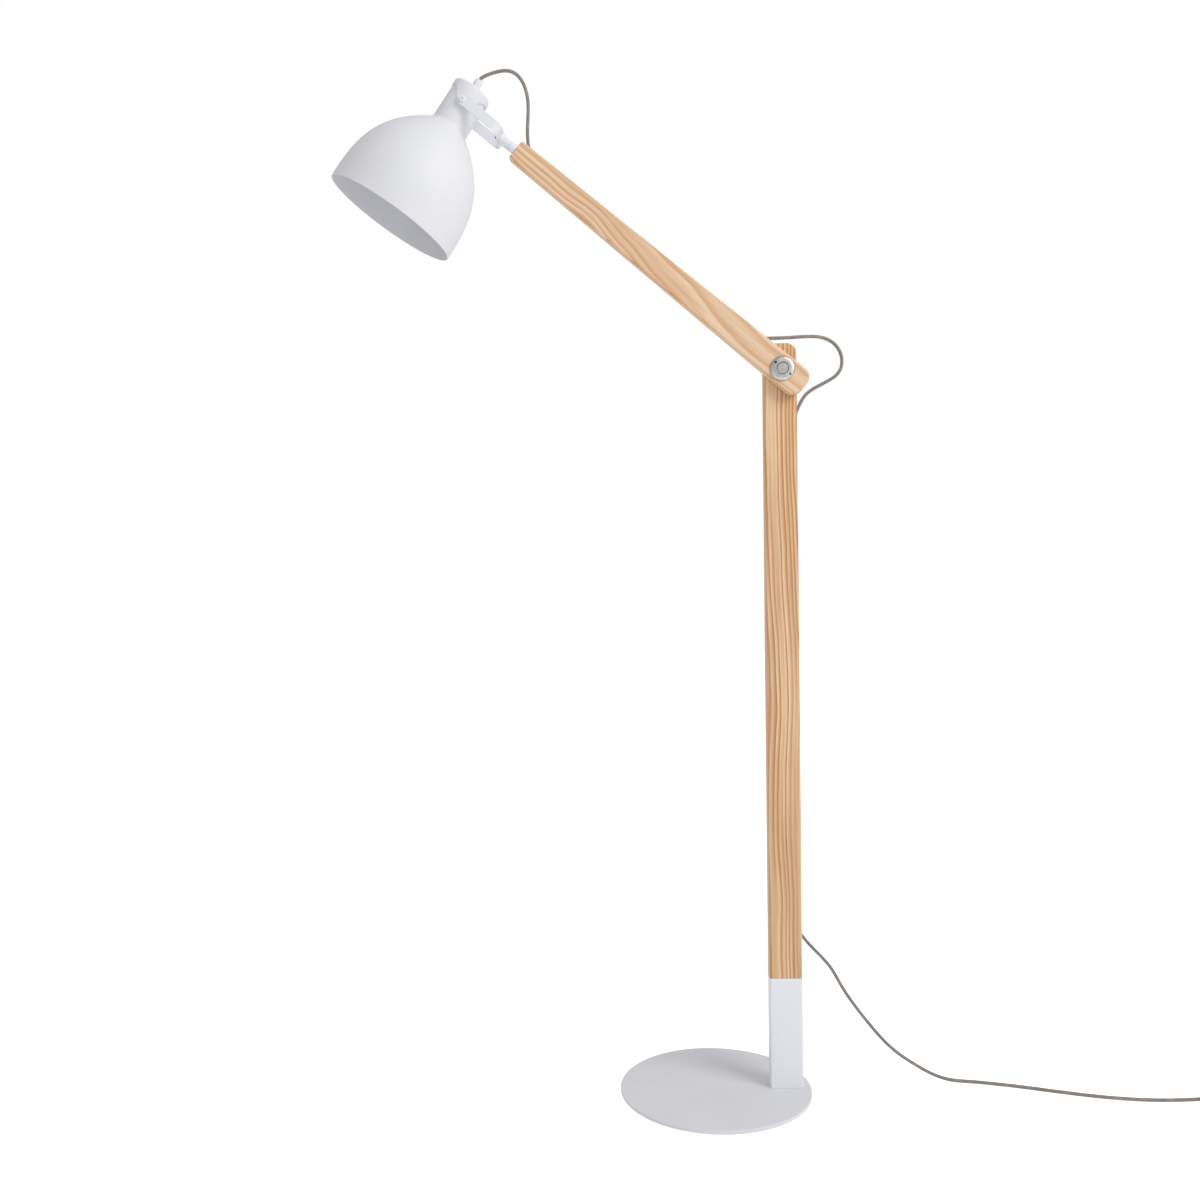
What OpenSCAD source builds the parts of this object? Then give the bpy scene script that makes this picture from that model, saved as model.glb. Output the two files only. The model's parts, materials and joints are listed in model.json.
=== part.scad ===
// Adjustable arm floor lamp: a round steel base, a pine post, a pine arm on a clamped
// elbow, and a spun metal shade that swivels and tilts at the end of the arm.
// +Z is up, the arm reaches towards -X, and the origin is the middle of the underside.

/* [Base] */
// Diameter of the base plate
base_d = 280; // [230:1:340]
// Thickness of the base plate
base_t = 5; // [4:0.5:12]
// Thickness of the pad glued under the plate
pad_t = 1.2; // [0.8:0.1:3]
// Distance from the side of the post to the rim of the plate
post_edge = 12; // [6:1:20]

/* [Post] */
// Width of the post and of its sleeve
post_w = 48; // [40:1:60]
// Thickness of the post and of its sleeve
post_t = 22; // [18:1:30]
// Length of the post from the floor of the sleeve to its top
post_l = 1089; // [880:1:1310]
// Radius of the two top corners of the post
post_corner = 15; // [8:1:19]
// Height of the metal sleeve above the base plate
sleeve_h = 161; // [120:1:220]
// Wall of the sleeve
sleeve_wall = 1.5; // [1:0.1:3]

/* [Arm] */
// Distance from the top of the post down to the elbow axis
elbow_drop = 41; // [30:1:60]
// Distance from the elbow axis to the end of the arm at the shade
arm_reach = 502; // [400:1:620]
// Distance from the elbow axis to the rounded end of the arm
arm_tail = 42; // [32:1:50]
// Width of the arm at the elbow
arm_w = 43.2; // [38:0.2:56]
// Width of the arm at the shade end
arm_tip_w = 31.4; // [28:1:44]
// Thickness of the arm
arm_t = 15.5; // [15:0.5:26]
// Angle of the arm above the horizontal at rest
arm_angle = 40; // [10:1:60]
// Round-over on the long edges of the post and the arm
wood_round = 2.6; // [1:0.1:4]

/* [Elbow] */
// Diameter of the clamping bolt
bolt_d = 8; // [6:1:10]
// Diameter of the round face disc
disc_d = 36; // [30:1:44]
// Diameter across the lobes of the clamp knob
knob_d = 34; // [28:1:40]

/* [Yoke] */
// Distance from the tilt axis to the outside of the yoke's base
yoke_l = 68; // [62:0.5:90]
// Width of the steel strap that the yoke is bent from
strap_w = 15; // [12:1:20]
// Thickness of the strap
strap_t = 2; // [1.5:0.1:3]
// Outside radius of the two bends of the yoke
yoke_bend = 12; // [8:1:20]
// Diameter of the swivel stem
stem_d = 14; // [12:0.5:18]
// Length of the swivel stem
stem_l = 17.2; // [12:0.1:30]
// Diameter of the screws on the tilt axis
tilt_screw_d = 4; // [3:0.5:5]

/* [Shade] */
// Diameter of the shade at its rim
shade_d = 197; // [166:1:236]
// Distance from the tilt axis to the rim
rim_depth = 192.8; // [160:0.2:230]
// Length of the shade's curve, from its pole to the rim
bell_l = 171.3; // [140:0.1:200]
// Diameter of the neck of the shade
neck_d = 55.2; // [50:0.2:66]
// Wall of the shade and of its cap
shade_wall = 1.2; // [0.8:0.1:2]
// Distance from the tilt axis to the closed end of the cap
cap_l = 29; // [28:0.5:42]
// Lean of the shade's axis from the vertical at rest
head_lean = 33.5; // [20:0.5:50]
// Distance from the tilt axis to the shade's own axis
tilt_off = 4.5; // [0:0.5:5]
// Diameter of the bulb
bulb_d = 60; // [45:1:80]

/* [Cable] */
// Diameter of the cloth-covered cable
cable_d = 5; // [4:0.5:5.6]

/* [Hidden] */
$fn = 64;

gap = 0.3;                 // air between pieces that move past each other
fit = 0.05;                // radial clearance of a running fit
seat = 0.1;                // clearance of a piece that sits still in another

base_top = pad_t + base_t;
post_x = base_d / 2 - post_edge - post_w / 2;
sleeve_floor = 4;          // thickness of the sleeve's closed bottom
sleeve_top = base_top + sleeve_h;
post_z0 = base_top + sleeve_floor;
post_top = post_z0 + post_l;
elbow_z = post_top - elbow_drop;
section_round = 2;         // corner radius of the sleeve's section

washer_t = 1;
arm_y = -(post_t / 2 + washer_t + gap + arm_t / 2);
arm_back = arm_y + arm_t / 2;
disc_t = 4.2;
disc_edge = 2;             // height of the face disc at its edge
bolt_head_d = 16;
bolt_head_t = 2.4;
disc_recess = 2;           // how deep the bolt's head lies in the face disc
pin_hole_r = 13.5;         // distance of the two pin holes from the elbow axis
rear_washer_t = 1.5;
knob_y = post_t / 2 + rear_washer_t + gap;
knob_hub = 4;
knob_t = 12;

collar_l = 10;             // part of the swivel bush that shows
collar_d = stem_d - 0.6;
bush_d = 10;               // part of the swivel bush inside the arm
bush_l = 28;
swivel_d = 6;
tilt_reach = arm_reach + collar_l + gap + stem_l + yoke_l;
tilt_p = [post_x - tilt_reach * cos(arm_angle), arm_y, elbow_z + tilt_reach * sin(arm_angle)];

neck_r = neck_d / 2;
bell_side_curve = 1.1;     // powers that shape the bell: r ^ side + z ^ top = 1
bell_top_curve = 2.95;
cap_r = neck_r + seat + shade_wall;
cap_skirt = 17;            // distance from the tilt axis to the lower edge of the cap
cap_round = 6;
boss_face = cap_r + 1.1;   // flat of the bosses on the tilt axis
tilt_washer_t = 0.6;
yoke_in = boss_face + tilt_washer_t + gap;
yoke_out = yoke_in + strap_t;
nut_t = 3;
nipple_d = 10;
nipple_bore = 6.6;
grip_d = 12;
grip_l = 17.5;

holder_r = 19;
holder_end = cap_l - shade_wall - 6;
holder_split = holder_end - 11;   // where the holder's top meets its body
holder_lip = holder_split - 47;   // open end of the lamp holder
shell_r = 14.2;
bulb_cap_r = 13.3;
bulb_cap_top = holder_lip + 24;
bulb_neck = bulb_cap_top - 27;    // where the glass leaves the bulb's metal cap
bulb_tip = bulb_neck - 81;

// Stations along the arm, measured from the elbow axis
arm_cable_in = arm_reach - 38;
arm_cable_out = 100;
arm_cable_up = 6;          // height of the cable above the arm's centre line
arm_clip_at = [126, (arm_reach + 62) / 2, arm_reach - 64];
post_cable_x = 12;         // distance of the cable from the post's centre line
post_cable_top = 945;
post_cable_end = 268;
post_clip_at = [278, 600, 925];
cable_y = cable_d / 2 + seat / 2;
clip_wall = 0.9;
clip_w = 8;
clip_flange = 7;

// Route of the loop from the cord grip to the back of the arm
head_loop_route = [
    [-331.6, -20.05, 1483.8], [-329.8, -20.05, 1486.5], [-324.2, -19.9, 1490.2],
    [-315.4, -19.4, 1493.9], [-306.4, -18.7, 1496.8], [-297.1, -17.9, 1498.6],
    [-287.7, -16.9, 1498.3], [-279.3, -15.5, 1494.8], [-272.7, -14.1, 1488.2],
    [-267.9, -12.9, 1480.1], [-264.9, -11.8, 1471.2], [-263.0, -10.9, 1461.9],
    [-262.2, -10.4, 1452.4], [-262.2, -10.0, 1442.9], [-262.6, -9.8, 1433.4],
    [-263.1, -9.75, 1423.9], [-263.5, -9.75, 1414.5], [-263.4, -9.75, 1404.9],
    [-262.7, -9.75, 1395.5], [-261.1, -9.75, 1386.1], [-257.9, -9.75, 1376.7],
    [-253.5, -9.75, 1368.6], [-250.6, -9.75, 1363.9], [-247.9, -9.75, 1361.3]];
// Route of the loop from the back of the arm to the back of the post
elbow_loop_route = [
    [31.5, -9.75, 1126.8], [34.6, -9.75, 1124.3], [43.0, -9.75, 1116.6],
    [54.5, -9.75, 1110.4], [68.5, -9.5, 1107.2], [84.0, -8.5, 1106.6],
    [100.0, -7.0, 1107.1], [116.0, -5.0, 1108.1], [132.0, -3.0, 1109.4],
    [148.0, -0.5, 1110.6], [163.0, 2.0, 1110.4], [176.0, 4.5, 1107.4],
    [187.0, 7.0, 1101.0], [195.0, 9.0, 1091.0], [198.8, 10.5, 1079.0],
    [197.5, 11.5, 1066.0], [190.5, 12.4, 1055.5], [179.5, 13.0, 1048.0],
    [167.0, 13.55, 1041.6], [155.0, 13.55, 1035.0], [145.0, 13.55, 1027.0],
    [138.0, 13.55, 1016.5], [132.0, 13.55, 1004.0], [126.5, 13.55, 990.5],
    [121.4, 13.55, 976.5], [117.4, 13.55, 962.0], [116.0, 13.55, 951.0],
    [116.0, 13.55, 945.3]];
// Route of the mains lead, from the lowest clip to the coil
lead_route = [
    [116, 13.55, 268], [116, 13.55, 263], [117.6, 13.6, 253], [121, 13.8, 243], [126.5, 14, 231],
    [134, 14.2, 220], [143, 14.5, 209], [153, 14.8, 198.5], [163.5, 15, 187.5],
    [173, 15.4, 176], [181, 15.8, 163.5], [188.5, 16.2, 150], [196.5, 16.6, 136.5],
    [205.5, 17, 123], [215, 17.5, 110], [225, 18, 97], [235, 18.5, 84.5],
    [245.5, 19, 72], [257, 19.5, 59.5], [270, 20, 47.5], [284.5, 20.4, 36.5],
    [300, 20.6, 26.5], [316, 20.6, 17], [332, 20.2, 9.4], [348, 19.2, 4.6],
    [364, 17.4, 2.8], [380, 14.8, 2.5], [396, 11.2, 2.5], [412, 7, 2.5],
    [428, 2.2, 2.5], [444, -3, 2.5], [460, -8.6, 2.5], [476, -14.4, 2.5],
    [492, -20.2, 2.5], [508, -26, 2.5], [524, -31.4, 2.5], [540, -36.4, 2.5],
    [556, -40.8, 2.5], [572, -44.6, 2.5], [588, -47.6, 2.5], [604, -49.8, 2.5],
    [620, -51.4, 2.5], [636, -52.4, 2.5], [652, -52.8, 2.5], [668, -52.6, 2.5],
    [684, -52.0, 2.6], [700, -51.4, 3], [718, -51, 3.3]];
// Middle of the coil, the radius at the middle of its turns and the tie round them
coil_p = [718, -79.5];
coil_r = 28.5;
tie_t = 0.8;
tie_w = 4;
// Routes from the coil to the switch, and from the switch round to the plug
link_route = [[746.5, -81, 3.4], [746.5, -91, 4.2], [746.5, -102, 6.8], [746.5, -112, 8.5]];
tail_route = [
    [746.5, -174, 8.5], [746.5, -180, 7.8], [745, -188.5, 6.6], [740.8, -196.2, 5.6],
    [734.2, -202.2, 5.1], [726.2, -205.4, 5.2], [718.5, -206, 6], [712, -206, 6.8]];
switch_l = 62;
switch_w = 28;
switch_h = 17;
switch_split = 8.5;        // height of the seam between the switch's two shells
switch_p = [746.5, -143];
rocker_l = 20;
rocker_w = 11;
rocker_z = 13.2;           // height of the rocker's axis
plug_p = [712, -206];      // where the cord enters the plug's strain relief
relief_l = 20;
plug_l = 35;
plug_w = 26;
plug_h = 13.6;
pin_l = 19;
pin_d = 4;
pin_pitch = 18.6;

// Shared geometry

function unit(v) = v / norm(v);
function arc(cx, cy, r, a0, a1, n) =
    [for (i = [0:n]) let (a = a0 + (a1 - a0) * i / n) [cx + r * cos(a), cy + r * sin(a)]];
// Rounded rectangle about the middle, w by h, with corners of radius r
function rounded(w, h, r, n = 5) = concat(
    arc(w / 2 - r, h / 2 - r, r, 0, 90, n), arc(r - w / 2, h / 2 - r, r, 90, 180, n),
    arc(r - w / 2, r - h / 2, r, 180, 270, n), arc(w / 2 - r, r - h / 2, r, 270, 360, n));
function tangent(p, i) = unit(p[min(i + 1, len(p) - 1)] - p[max(i - 1, 0)]);
function ring(c, t, side, r, n) =
    let (a = unit(cross(t, side)), b = cross(a, t))
    [for (k = [0:n - 1]) c + r * (cos(360 * k / n) * a + sin(360 * k / n) * b)];

// A round cord of diameter d along the points p; side is never along the cord
module cord(p, d = cable_d, side = [0, 1, 0], n = 8) {
    points = [for (i = [0:len(p) - 1]) each ring(p[i], tangent(p, i), side, d / 2, n)];
    last = (len(p) - 1) * n;
    walls = [for (i = [0:len(p) - 2], k = [0:n - 1])
        each [[i * n + k, i * n + (k + 1) % n, (i + 1) * n + k],
              [i * n + (k + 1) % n, (i + 1) * n + (k + 1) % n, (i + 1) * n + k]]];
    polyhedron(points, concat([[for (k = [n - 1:-1:0]) k]], walls, [[for (k = [0:n - 1]) last + k]]));
}

// A cylinder along Y from y0 to y1
module y_cyl(y0, y1, r) {
    translate([0, min(y0, y1), 0]) rotate([-90, 0, 0]) cylinder(h = abs(y1 - y0), r = r);
}

// A cylinder along X from x0 to x1
module x_cyl(x0, x1, r) {
    translate([min(x0, x1), 0, 0]) rotate([0, 90, 0]) cylinder(h = abs(x1 - x0), r = r);
}

// Stands an outline drawn in X and Z upright, t thick about the plane y = 0
module upright(t) { rotate([90, 0, 0]) linear_extrude(t, center = true) children(); }

// On the post at elbow height
module at_elbow() { translate([post_x, 0, elbow_z]) children(); }

// On the arm: -X runs to the shade end, and y = 0 is the middle of its thickness
module on_arm() { at_elbow() rotate([0, arm_angle, 0]) translate([0, arm_y, 0]) children(); }

// On the yoke: the tilt axis is at 0 and +X runs back towards the arm
module on_yoke() { on_arm() translate([-tilt_reach, 0, 0]) children(); }

// On the tilt axis, leaning with the shade: +Z runs to the closed end of the cap
module on_tilt() { translate(tilt_p) rotate([0, head_lean, 0]) children(); }

// On the shade's own axis, level with the tilt axis
module on_head() { on_tilt() translate([-tilt_off, 0, 0]) children(); }

module both_sides() {
    children();
    mirror([0, 1, 0]) children();
}

// Base

module base_pad() {
    color([0.12, 0.12, 0.13]) difference() {
        cylinder(h = pad_t, d = base_d - 6, $fn = 120);
        for (s = [-1, 1]) translate([post_x + s * 12, 0, -1]) cylinder(h = pad_t + 2, r = 8);
    }
}

module base_plate() {
    r = base_d / 2;
    edge = 1.2;
    color([0.86, 0.87, 0.88]) difference() {
        translate([0, 0, pad_t]) rotate_extrude($fn = 120)
            polygon([[0, 0], [r - edge / 2, 0], [r, edge / 2], [r, base_t - edge],
                     [r - edge * 0.3, base_t - edge * 0.3], [r - edge, base_t], [0, base_t]]);
        for (s = [-1, 1]) translate([post_x + s * 12, 0, pad_t]) {
            translate([0, 0, -1]) cylinder(h = base_t + 2, r = 3 + seat);
            translate([0, 0, -0.01]) cylinder(h = 3.01, r1 = 6.2, r2 = 3.2);
        }
    }
}

module base_screws() {
    color([0.55, 0.56, 0.58]) for (s = [-1, 1]) translate([post_x + s * 12, 0, pad_t]) difference() {
        union() {
            translate([0, 0, 0.1]) cylinder(h = 2.9, r1 = 6, r2 = 3);
            translate([0, 0, 2]) cylinder(h = base_t + 1.8, r = 3);
        }
        translate([0, 0, -1]) cylinder(h = 2.6, r = 2.3, $fn = 6);
    }
}

module sleeve() {
    color([0.86, 0.87, 0.88]) translate([post_x, 0, base_top]) difference() {
        linear_extrude(sleeve_h) polygon(rounded(post_w, post_t, section_round));
        translate([0, 0, sleeve_floor]) linear_extrude(sleeve_h)
            polygon(rounded(post_w - 2 * sleeve_wall, post_t - 2 * sleeve_wall, section_round / 2));
        for (s = [-1, 1]) translate([s * 12, 0, -1]) cylinder(h = sleeve_floor + 2, r = 3 + seat);
        for (z = [40, sleeve_h - 36]) translate([0, 0, z]) y_cyl(0, post_t, 2.2);
    }
}

module sleeve_screws() {
    color([0.75, 0.76, 0.78]) for (z = [40, sleeve_h - 36])
    translate([post_x, 0, base_top + z]) difference() {
        union() {
            y_cyl(post_t / 2 - 11, post_t / 2 + 1, 2);
            y_cyl(post_t / 2 + seat, post_t / 2 + 2, 4);
        }
        translate([0, post_t / 2 + 1.6, 0]) cube([5, 2, 1], center = true);
        translate([0, post_t / 2 + 1.6, 0]) cube([1, 2, 5], center = true);
    }
}

// Post

// Outline of the post above the sleeve, drawn in X and Z and held in by inset
function post_outline(inset) = let (w = post_w / 2 - inset, r = post_corner - inset) concat(
    [[-w, sleeve_top + gap], [w, sleeve_top + gap]],
    arc(w - r, post_top - inset - r, r, 0, 90, 8), arc(r - w, post_top - inset - r, r, 90, 180, 8));

module post() {
    tenon_w = post_w - 2 * (sleeve_wall + seat);
    tenon_t = post_t - 2 * (sleeve_wall + seat);
    color([0.85, 0.67, 0.46]) difference() {
        translate([post_x, 0, 0]) union() {
            hull() {
                upright(post_t - 2 * wood_round) polygon(post_outline(0));
                upright(post_t - 0.6 * wood_round) polygon(post_outline(0.3 * wood_round));
                upright(post_t) polygon(post_outline(wood_round));
            }
            translate([0, 0, post_z0 + seat]) linear_extrude(sleeve_top + gap - post_z0 - seat + 0.01)
                polygon(rounded(tenon_w, tenon_t, section_round / 2, 3));
        }
        at_elbow() y_cyl(-post_t, post_t, bolt_d / 2 + fit);
        for (z = [40, sleeve_h - 36]) translate([post_x, 0, base_top + z]) y_cyl(-1, post_t, 2 + seat);
        for (z = post_clip_at) translate([post_x + post_cable_x - clip_flange, 0, z])
            y_cyl(post_t / 2 - 9, post_t, 1.2 + seat);
    }
}

module friction_washer() {
    color([0.25, 0.22, 0.2]) at_elbow() difference() {
        y_cyl(-post_t / 2 - washer_t, -post_t / 2, 16);
        y_cyl(-post_t, 0, bolt_d / 2 + 2 * fit);
    }
}

module rear_washer() {
    color([0.72, 0.73, 0.75]) at_elbow() difference() {
        y_cyl(post_t / 2, post_t / 2 + rear_washer_t, 12);
        y_cyl(0, post_t, bolt_d / 2 + 2 * fit);
    }
}

module clamp_knob() {
    lobe = 4.5;
    color([0.16, 0.16, 0.17]) at_elbow() difference() {
        union() {
            y_cyl(knob_y, knob_y + knob_hub + 1, 10);
            translate([0, knob_y + knob_hub + knob_t / 2, 0]) upright(knob_t) {
                circle(r = knob_d / 2 - lobe * 0.9);
                for (a = [0:72:359]) rotate(a) translate([knob_d / 2 - lobe, 0]) circle(r = lobe);
            }
        }
        y_cyl(0, knob_y + knob_hub + 8, bolt_d / 2 + fit);
    }
}

// Arm

// Outline of the arm, drawn in X and Z and held in by inset
function arm_outline(inset) =
    let (slope = (arm_w - arm_tip_w) / 2 / arm_reach,
         end_w = arm_w / 2 + slope * arm_tail - inset, tip_w = arm_tip_w / 2 - inset,
         end_r = 17 - inset, tip_r = 4 - inset, x1 = arm_tail - inset, x0 = inset - arm_reach)
    concat(arc(x1 - end_r, end_r - end_w, end_r, -90, 0, 8),
           arc(x1 - end_r, end_w - end_r, end_r, 0, 90, 8),
           arc(x0 + tip_r, tip_w - tip_r, tip_r, 90, 180, 4),
           arc(x0 + tip_r, tip_r - tip_w, tip_r, 180, 270, 4));

module arm() {
    color([0.89, 0.73, 0.53]) on_arm() difference() {
        hull() {
            upright(arm_t - 2 * wood_round) polygon(arm_outline(0));
            upright(arm_t - 0.6 * wood_round) polygon(arm_outline(0.3 * wood_round));
            upright(arm_t) polygon(arm_outline(wood_round));
        }
        y_cyl(-arm_t, arm_t, bolt_d / 2 + seat);
        x_cyl(-arm_reach - 1, -arm_reach + bush_l, bush_d / 2 + seat);
        x_cyl(-arm_reach - 1, -arm_reach + bush_l + 12, swivel_d / 2 + seat);
        for (x = arm_clip_at)
            translate([-x, 0, arm_cable_up - clip_flange]) y_cyl(arm_t / 2 - 8, arm_t, 1.2 + seat);
    }
}

// The face disc's section: x runs out from the elbow axis, y out from the arm
module disc_section() {
    dome = disc_d / 2 - bolt_head_d / 2 - 1.2;
    polygon(concat([[bolt_d / 2 + seat, 0], [disc_d / 2, 0], [disc_d / 2, disc_edge - 0.6]],
        [for (i = [0:6]) let (a = 15 * i)
            [disc_d / 2 - 0.5 - dome * (1 - cos(a)), disc_edge + (disc_t - disc_edge) * sin(a)]],
        [[bolt_head_d / 2 + 0.4, disc_t - 0.3], [bolt_head_d / 2 + 0.4, disc_t - disc_recess],
         [bolt_d / 2 + seat, disc_t - disc_recess]]));
}

module face_disc() {
    color([0.78, 0.78, 0.79]) on_arm() translate([0, -arm_t / 2, 0]) rotate([90, 0, 0]) difference() {
        rotate_extrude() disc_section();
        for (s = [-1, 1]) translate([s * pin_hole_r, 0, disc_t - 2.4]) cylinder(h = 3, r = 1.5);
    }
}

module elbow_bolt() {
    head_y = -arm_t / 2 - disc_t + disc_recess;
    color([0.8, 0.8, 0.81]) on_arm() {
        y_cyl(head_y, knob_y + knob_hub + 7.5 - arm_y, bolt_d / 2);
        translate([0, head_y, 0]) rotate([90, 0, 0]) rotate_extrude() polygon([[0, 0],
            [bolt_head_d / 2, 0], [bolt_head_d / 2, bolt_head_t - 0.6],
            [bolt_head_d / 2 - 0.6, bolt_head_t - 0.1], [bolt_head_d / 4, bolt_head_t],
            [0, bolt_head_t + 0.1]]);
    }
}

module swivel_bush() {
    color([0.8, 0.81, 0.83]) on_arm() difference() {
        union() {
            x_cyl(-arm_reach - collar_l, -arm_reach - seat, collar_d / 2);
            x_cyl(-arm_reach - seat, -arm_reach + bush_l - 1, bush_d / 2);
        }
        x_cyl(-arm_reach - collar_l - 1, -arm_reach + bush_l, swivel_d / 2 + seat);
    }
}

module swivel_bolt() {
    inside = yoke_l - strap_t - 1.6;   // underside of the bolt's head, from the tilt axis
    color([0.3, 0.3, 0.31]) on_yoke() difference() {
        union() {
            x_cyl(inside, tilt_reach - arm_reach + bush_l + 10, swivel_d / 2);
            x_cyl(inside - 4, inside, 5);
        }
        x_cyl(inside - 5, inside - 1.5, 2.5, $fn = 6);
    }
}

module spring_washer() {
    color([0.6, 0.6, 0.62]) on_yoke() difference() {
        x_cyl(yoke_l - strap_t - 1.5, yoke_l - strap_t - gap, 6);
        x_cyl(0, yoke_l, swivel_d / 2 + 2 * fit);
    }
}

module swivel_stem() {
    color([0.86, 0.87, 0.88]) on_yoke() difference() {
        union() {
            x_cyl(yoke_l, yoke_l + stem_l, stem_d / 2);
            x_cyl(yoke_l + seat, yoke_l + 2, stem_d / 2 + 0.7);
        }
        x_cyl(yoke_l - 1, yoke_l + stem_l + 1, swivel_d / 2 + fit);
    }
}

// Yoke

// A U about the X axis, open towards -X, with its base at x and its sides at y = +-half
module u_shape(x, half, r) {
    translate([-2 * strap_w, -half]) square([x - r + 2 * strap_w, 2 * half]);
    translate([-2 * strap_w, r - half]) square([x + 2 * strap_w, 2 * (half - r)]);
    for (s = [-1, 1]) translate([x - r, s * (half - r)]) circle(r = r);
}

module yoke() {
    color([0.86, 0.87, 0.88]) on_yoke() difference() {
        intersection() {
            linear_extrude(strap_w, center = true) difference() {
                u_shape(yoke_l, yoke_out, yoke_bend);
                u_shape(yoke_l - strap_t, yoke_in, yoke_bend - strap_t);
            }
            upright(2 * yoke_out + 2) {
                circle(r = strap_w / 2);
                translate([0, -strap_w / 2]) square([yoke_l + 1, strap_w]);
            }
        }
        y_cyl(-yoke_out - 1, yoke_out + 1, tilt_screw_d / 2 + fit);
        x_cyl(0, yoke_l + 1, swivel_d / 2 + fit);
    }
}

module tilt_screws() {
    head_y = yoke_out + gap;
    color([0.84, 0.85, 0.86]) on_tilt() both_sides() difference() {
        union() {
            y_cyl(neck_r - shade_wall - nut_t - 2.6, head_y, tilt_screw_d / 2);
            translate([0, head_y, 0]) rotate([-90, 0, 0]) rotate_extrude() polygon(
                concat([[0, 0], [4.6, 0]], arc(3.4, 1.2, 1.2, 0, 80, 4), [[0, 2.6]]));
        }
        translate([0, head_y + 2.3, 0]) cube([5.4, 2, 0.9], center = true);
        translate([0, head_y + 2.3, 0]) cube([0.9, 2, 5.4], center = true);
    }
}

module tilt_washers() {
    color([0.9, 0.9, 0.88]) on_tilt() both_sides() difference() {
        y_cyl(boss_face, boss_face + tilt_washer_t, 6.5);
        y_cyl(0, yoke_out, tilt_screw_d / 2 + seat);
    }
}

module tilt_nuts() {
    color([0.6, 0.6, 0.62]) on_tilt() both_sides() difference() {
        intersection() {
            translate([0, neck_r - shade_wall - nut_t / 2 - 1.8, 0]) cube([7, nut_t, 7], center = true);
            y_cyl(0, neck_r, 4.6);
        }
        y_cyl(0, neck_r, tilt_screw_d / 2 + seat / 2);
    }
}

// Shade and lamp holder

module tilt_bores(r) { translate([tilt_off, 0, 0]) y_cyl(-yoke_out, yoke_out, r); }

// Solid cup of outside radius r, closed at z = end, with a corner of radius c
module cup(r, end, c) {
    rotate_extrude(convexity = 4) {
        square([r, end - c]);
        square([r - c, end]);
        translate([r - c, end - c]) circle(r = c);
    }
}

// The flat side view of an ear that reaches down round the tilt axis
module ear(r) {
    hull() {
        circle(r = r);
        translate([-2.6 * r, cap_skirt]) square([5.2 * r, 4]);
    }
}

module socket_cap() {
    inner = cap_r - shade_wall;
    color([0.87, 0.88, 0.89]) on_head() difference() {
        union() {
            difference() {
                cup(cap_r, cap_l, cap_round);
                translate([0, 0, -1]) cylinder(h = cap_skirt + 1, r = cap_r + 1);
            }
            intersection() {
                translate([0, 0, -strap_w]) cylinder(h = strap_w + cap_skirt, r = cap_r);
                translate([tilt_off, 0, 0]) upright(3 * cap_r) ear(strap_w / 2 + 1);
            }
            translate([tilt_off, 0, 0]) both_sides() y_cyl(inner + 0.2, boss_face, 6.8);
        }
        cup(inner, cap_l - shade_wall, cap_round - shade_wall);
        translate([0, 0, -strap_w - 1]) cylinder(h = strap_w + 2, r = inner);
        tilt_bores(tilt_screw_d / 2 + seat);
        cylinder(h = cap_l + 1, r = nipple_d / 2 + seat);
    }
}

module cord_grip() {
    color([0.9, 0.91, 0.92]) on_head() translate([0, 0, cap_l + seat / 2]) difference() {
        rotate_extrude() polygon([[0, 0], [grip_d / 2, 0], [grip_d / 2, grip_l - 1.4],
                                  [grip_d / 2 - 1.2, grip_l], [0, grip_l]]);
        translate([0, 0, -1]) cylinder(h = grip_l - 1.5, r = nipple_d / 2 + seat / 2);
        cylinder(h = grip_l + 1, r = cable_d / 2 + seat);
    }
}

module nipple() {
    color([0.75, 0.65, 0.35]) on_head() difference() {
        translate([0, 0, holder_end - 6]) cylinder(h = cap_l + grip_l - 3 - holder_end + 6, d = nipple_d);
        cylinder(h = cap_l + grip_l, d = nipple_bore);
    }
}

module lock_nut() {
    color([0.72, 0.73, 0.75]) on_head() difference() {
        translate([0, 0, cap_l - shade_wall - seat - 2.6]) cylinder(h = 2.6, r = 8.1, $fn = 6);
        cylinder(h = cap_l, r = nipple_d / 2 + seat / 2);
    }
}

module holder_top() {
    color([0.93, 0.93, 0.92]) on_head() difference() {
        rotate_extrude() polygon([[0, holder_split + seat], [holder_r - 1, holder_split + seat],
            [holder_r - 1.5, holder_end - 5], [holder_r - 6, holder_end], [0, holder_end]]);
        cylinder(h = holder_end + 1, r = nipple_d / 2 + seat / 2);
        translate([0, 0, holder_split - 1]) cylinder(h = 5, r = holder_r - 4);
    }
}

module holder_body() {
    color([0.93, 0.93, 0.92]) on_head() difference() {
        rotate_extrude() polygon([[0, holder_split], [holder_r, holder_split], [holder_r, holder_lip + 2],
            [holder_r - 0.8, holder_lip], [0, holder_lip]]);
        translate([0, 0, holder_lip - 1]) cylinder(h = bulb_cap_top + 4 - holder_lip, r = shell_r + seat);
        translate([0, 0, bulb_cap_top + 6]) cylinder(h = holder_split, r = 9);
    }
}

module screw_shell() {
    color([0.78, 0.66, 0.36]) on_head() difference() {
        translate([0, 0, holder_lip + 3]) cylinder(h = bulb_cap_top - holder_lip - 1, r = shell_r);
        translate([0, 0, holder_lip]) cylinder(h = 60, r = shell_r - 0.6);
    }
}

module bulb_cap() {
    h = bulb_cap_top - bulb_neck;
    color([0.75, 0.75, 0.76]) on_head() translate([0, 0, bulb_neck]) rotate_extrude()
        polygon([[0, 0], [bulb_cap_r, 0], [bulb_cap_r, h - 6], [bulb_cap_r - 3.5, h - 2.5], [5, h - 1.5],
            [4, h], [0, h]]);
}

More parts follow.
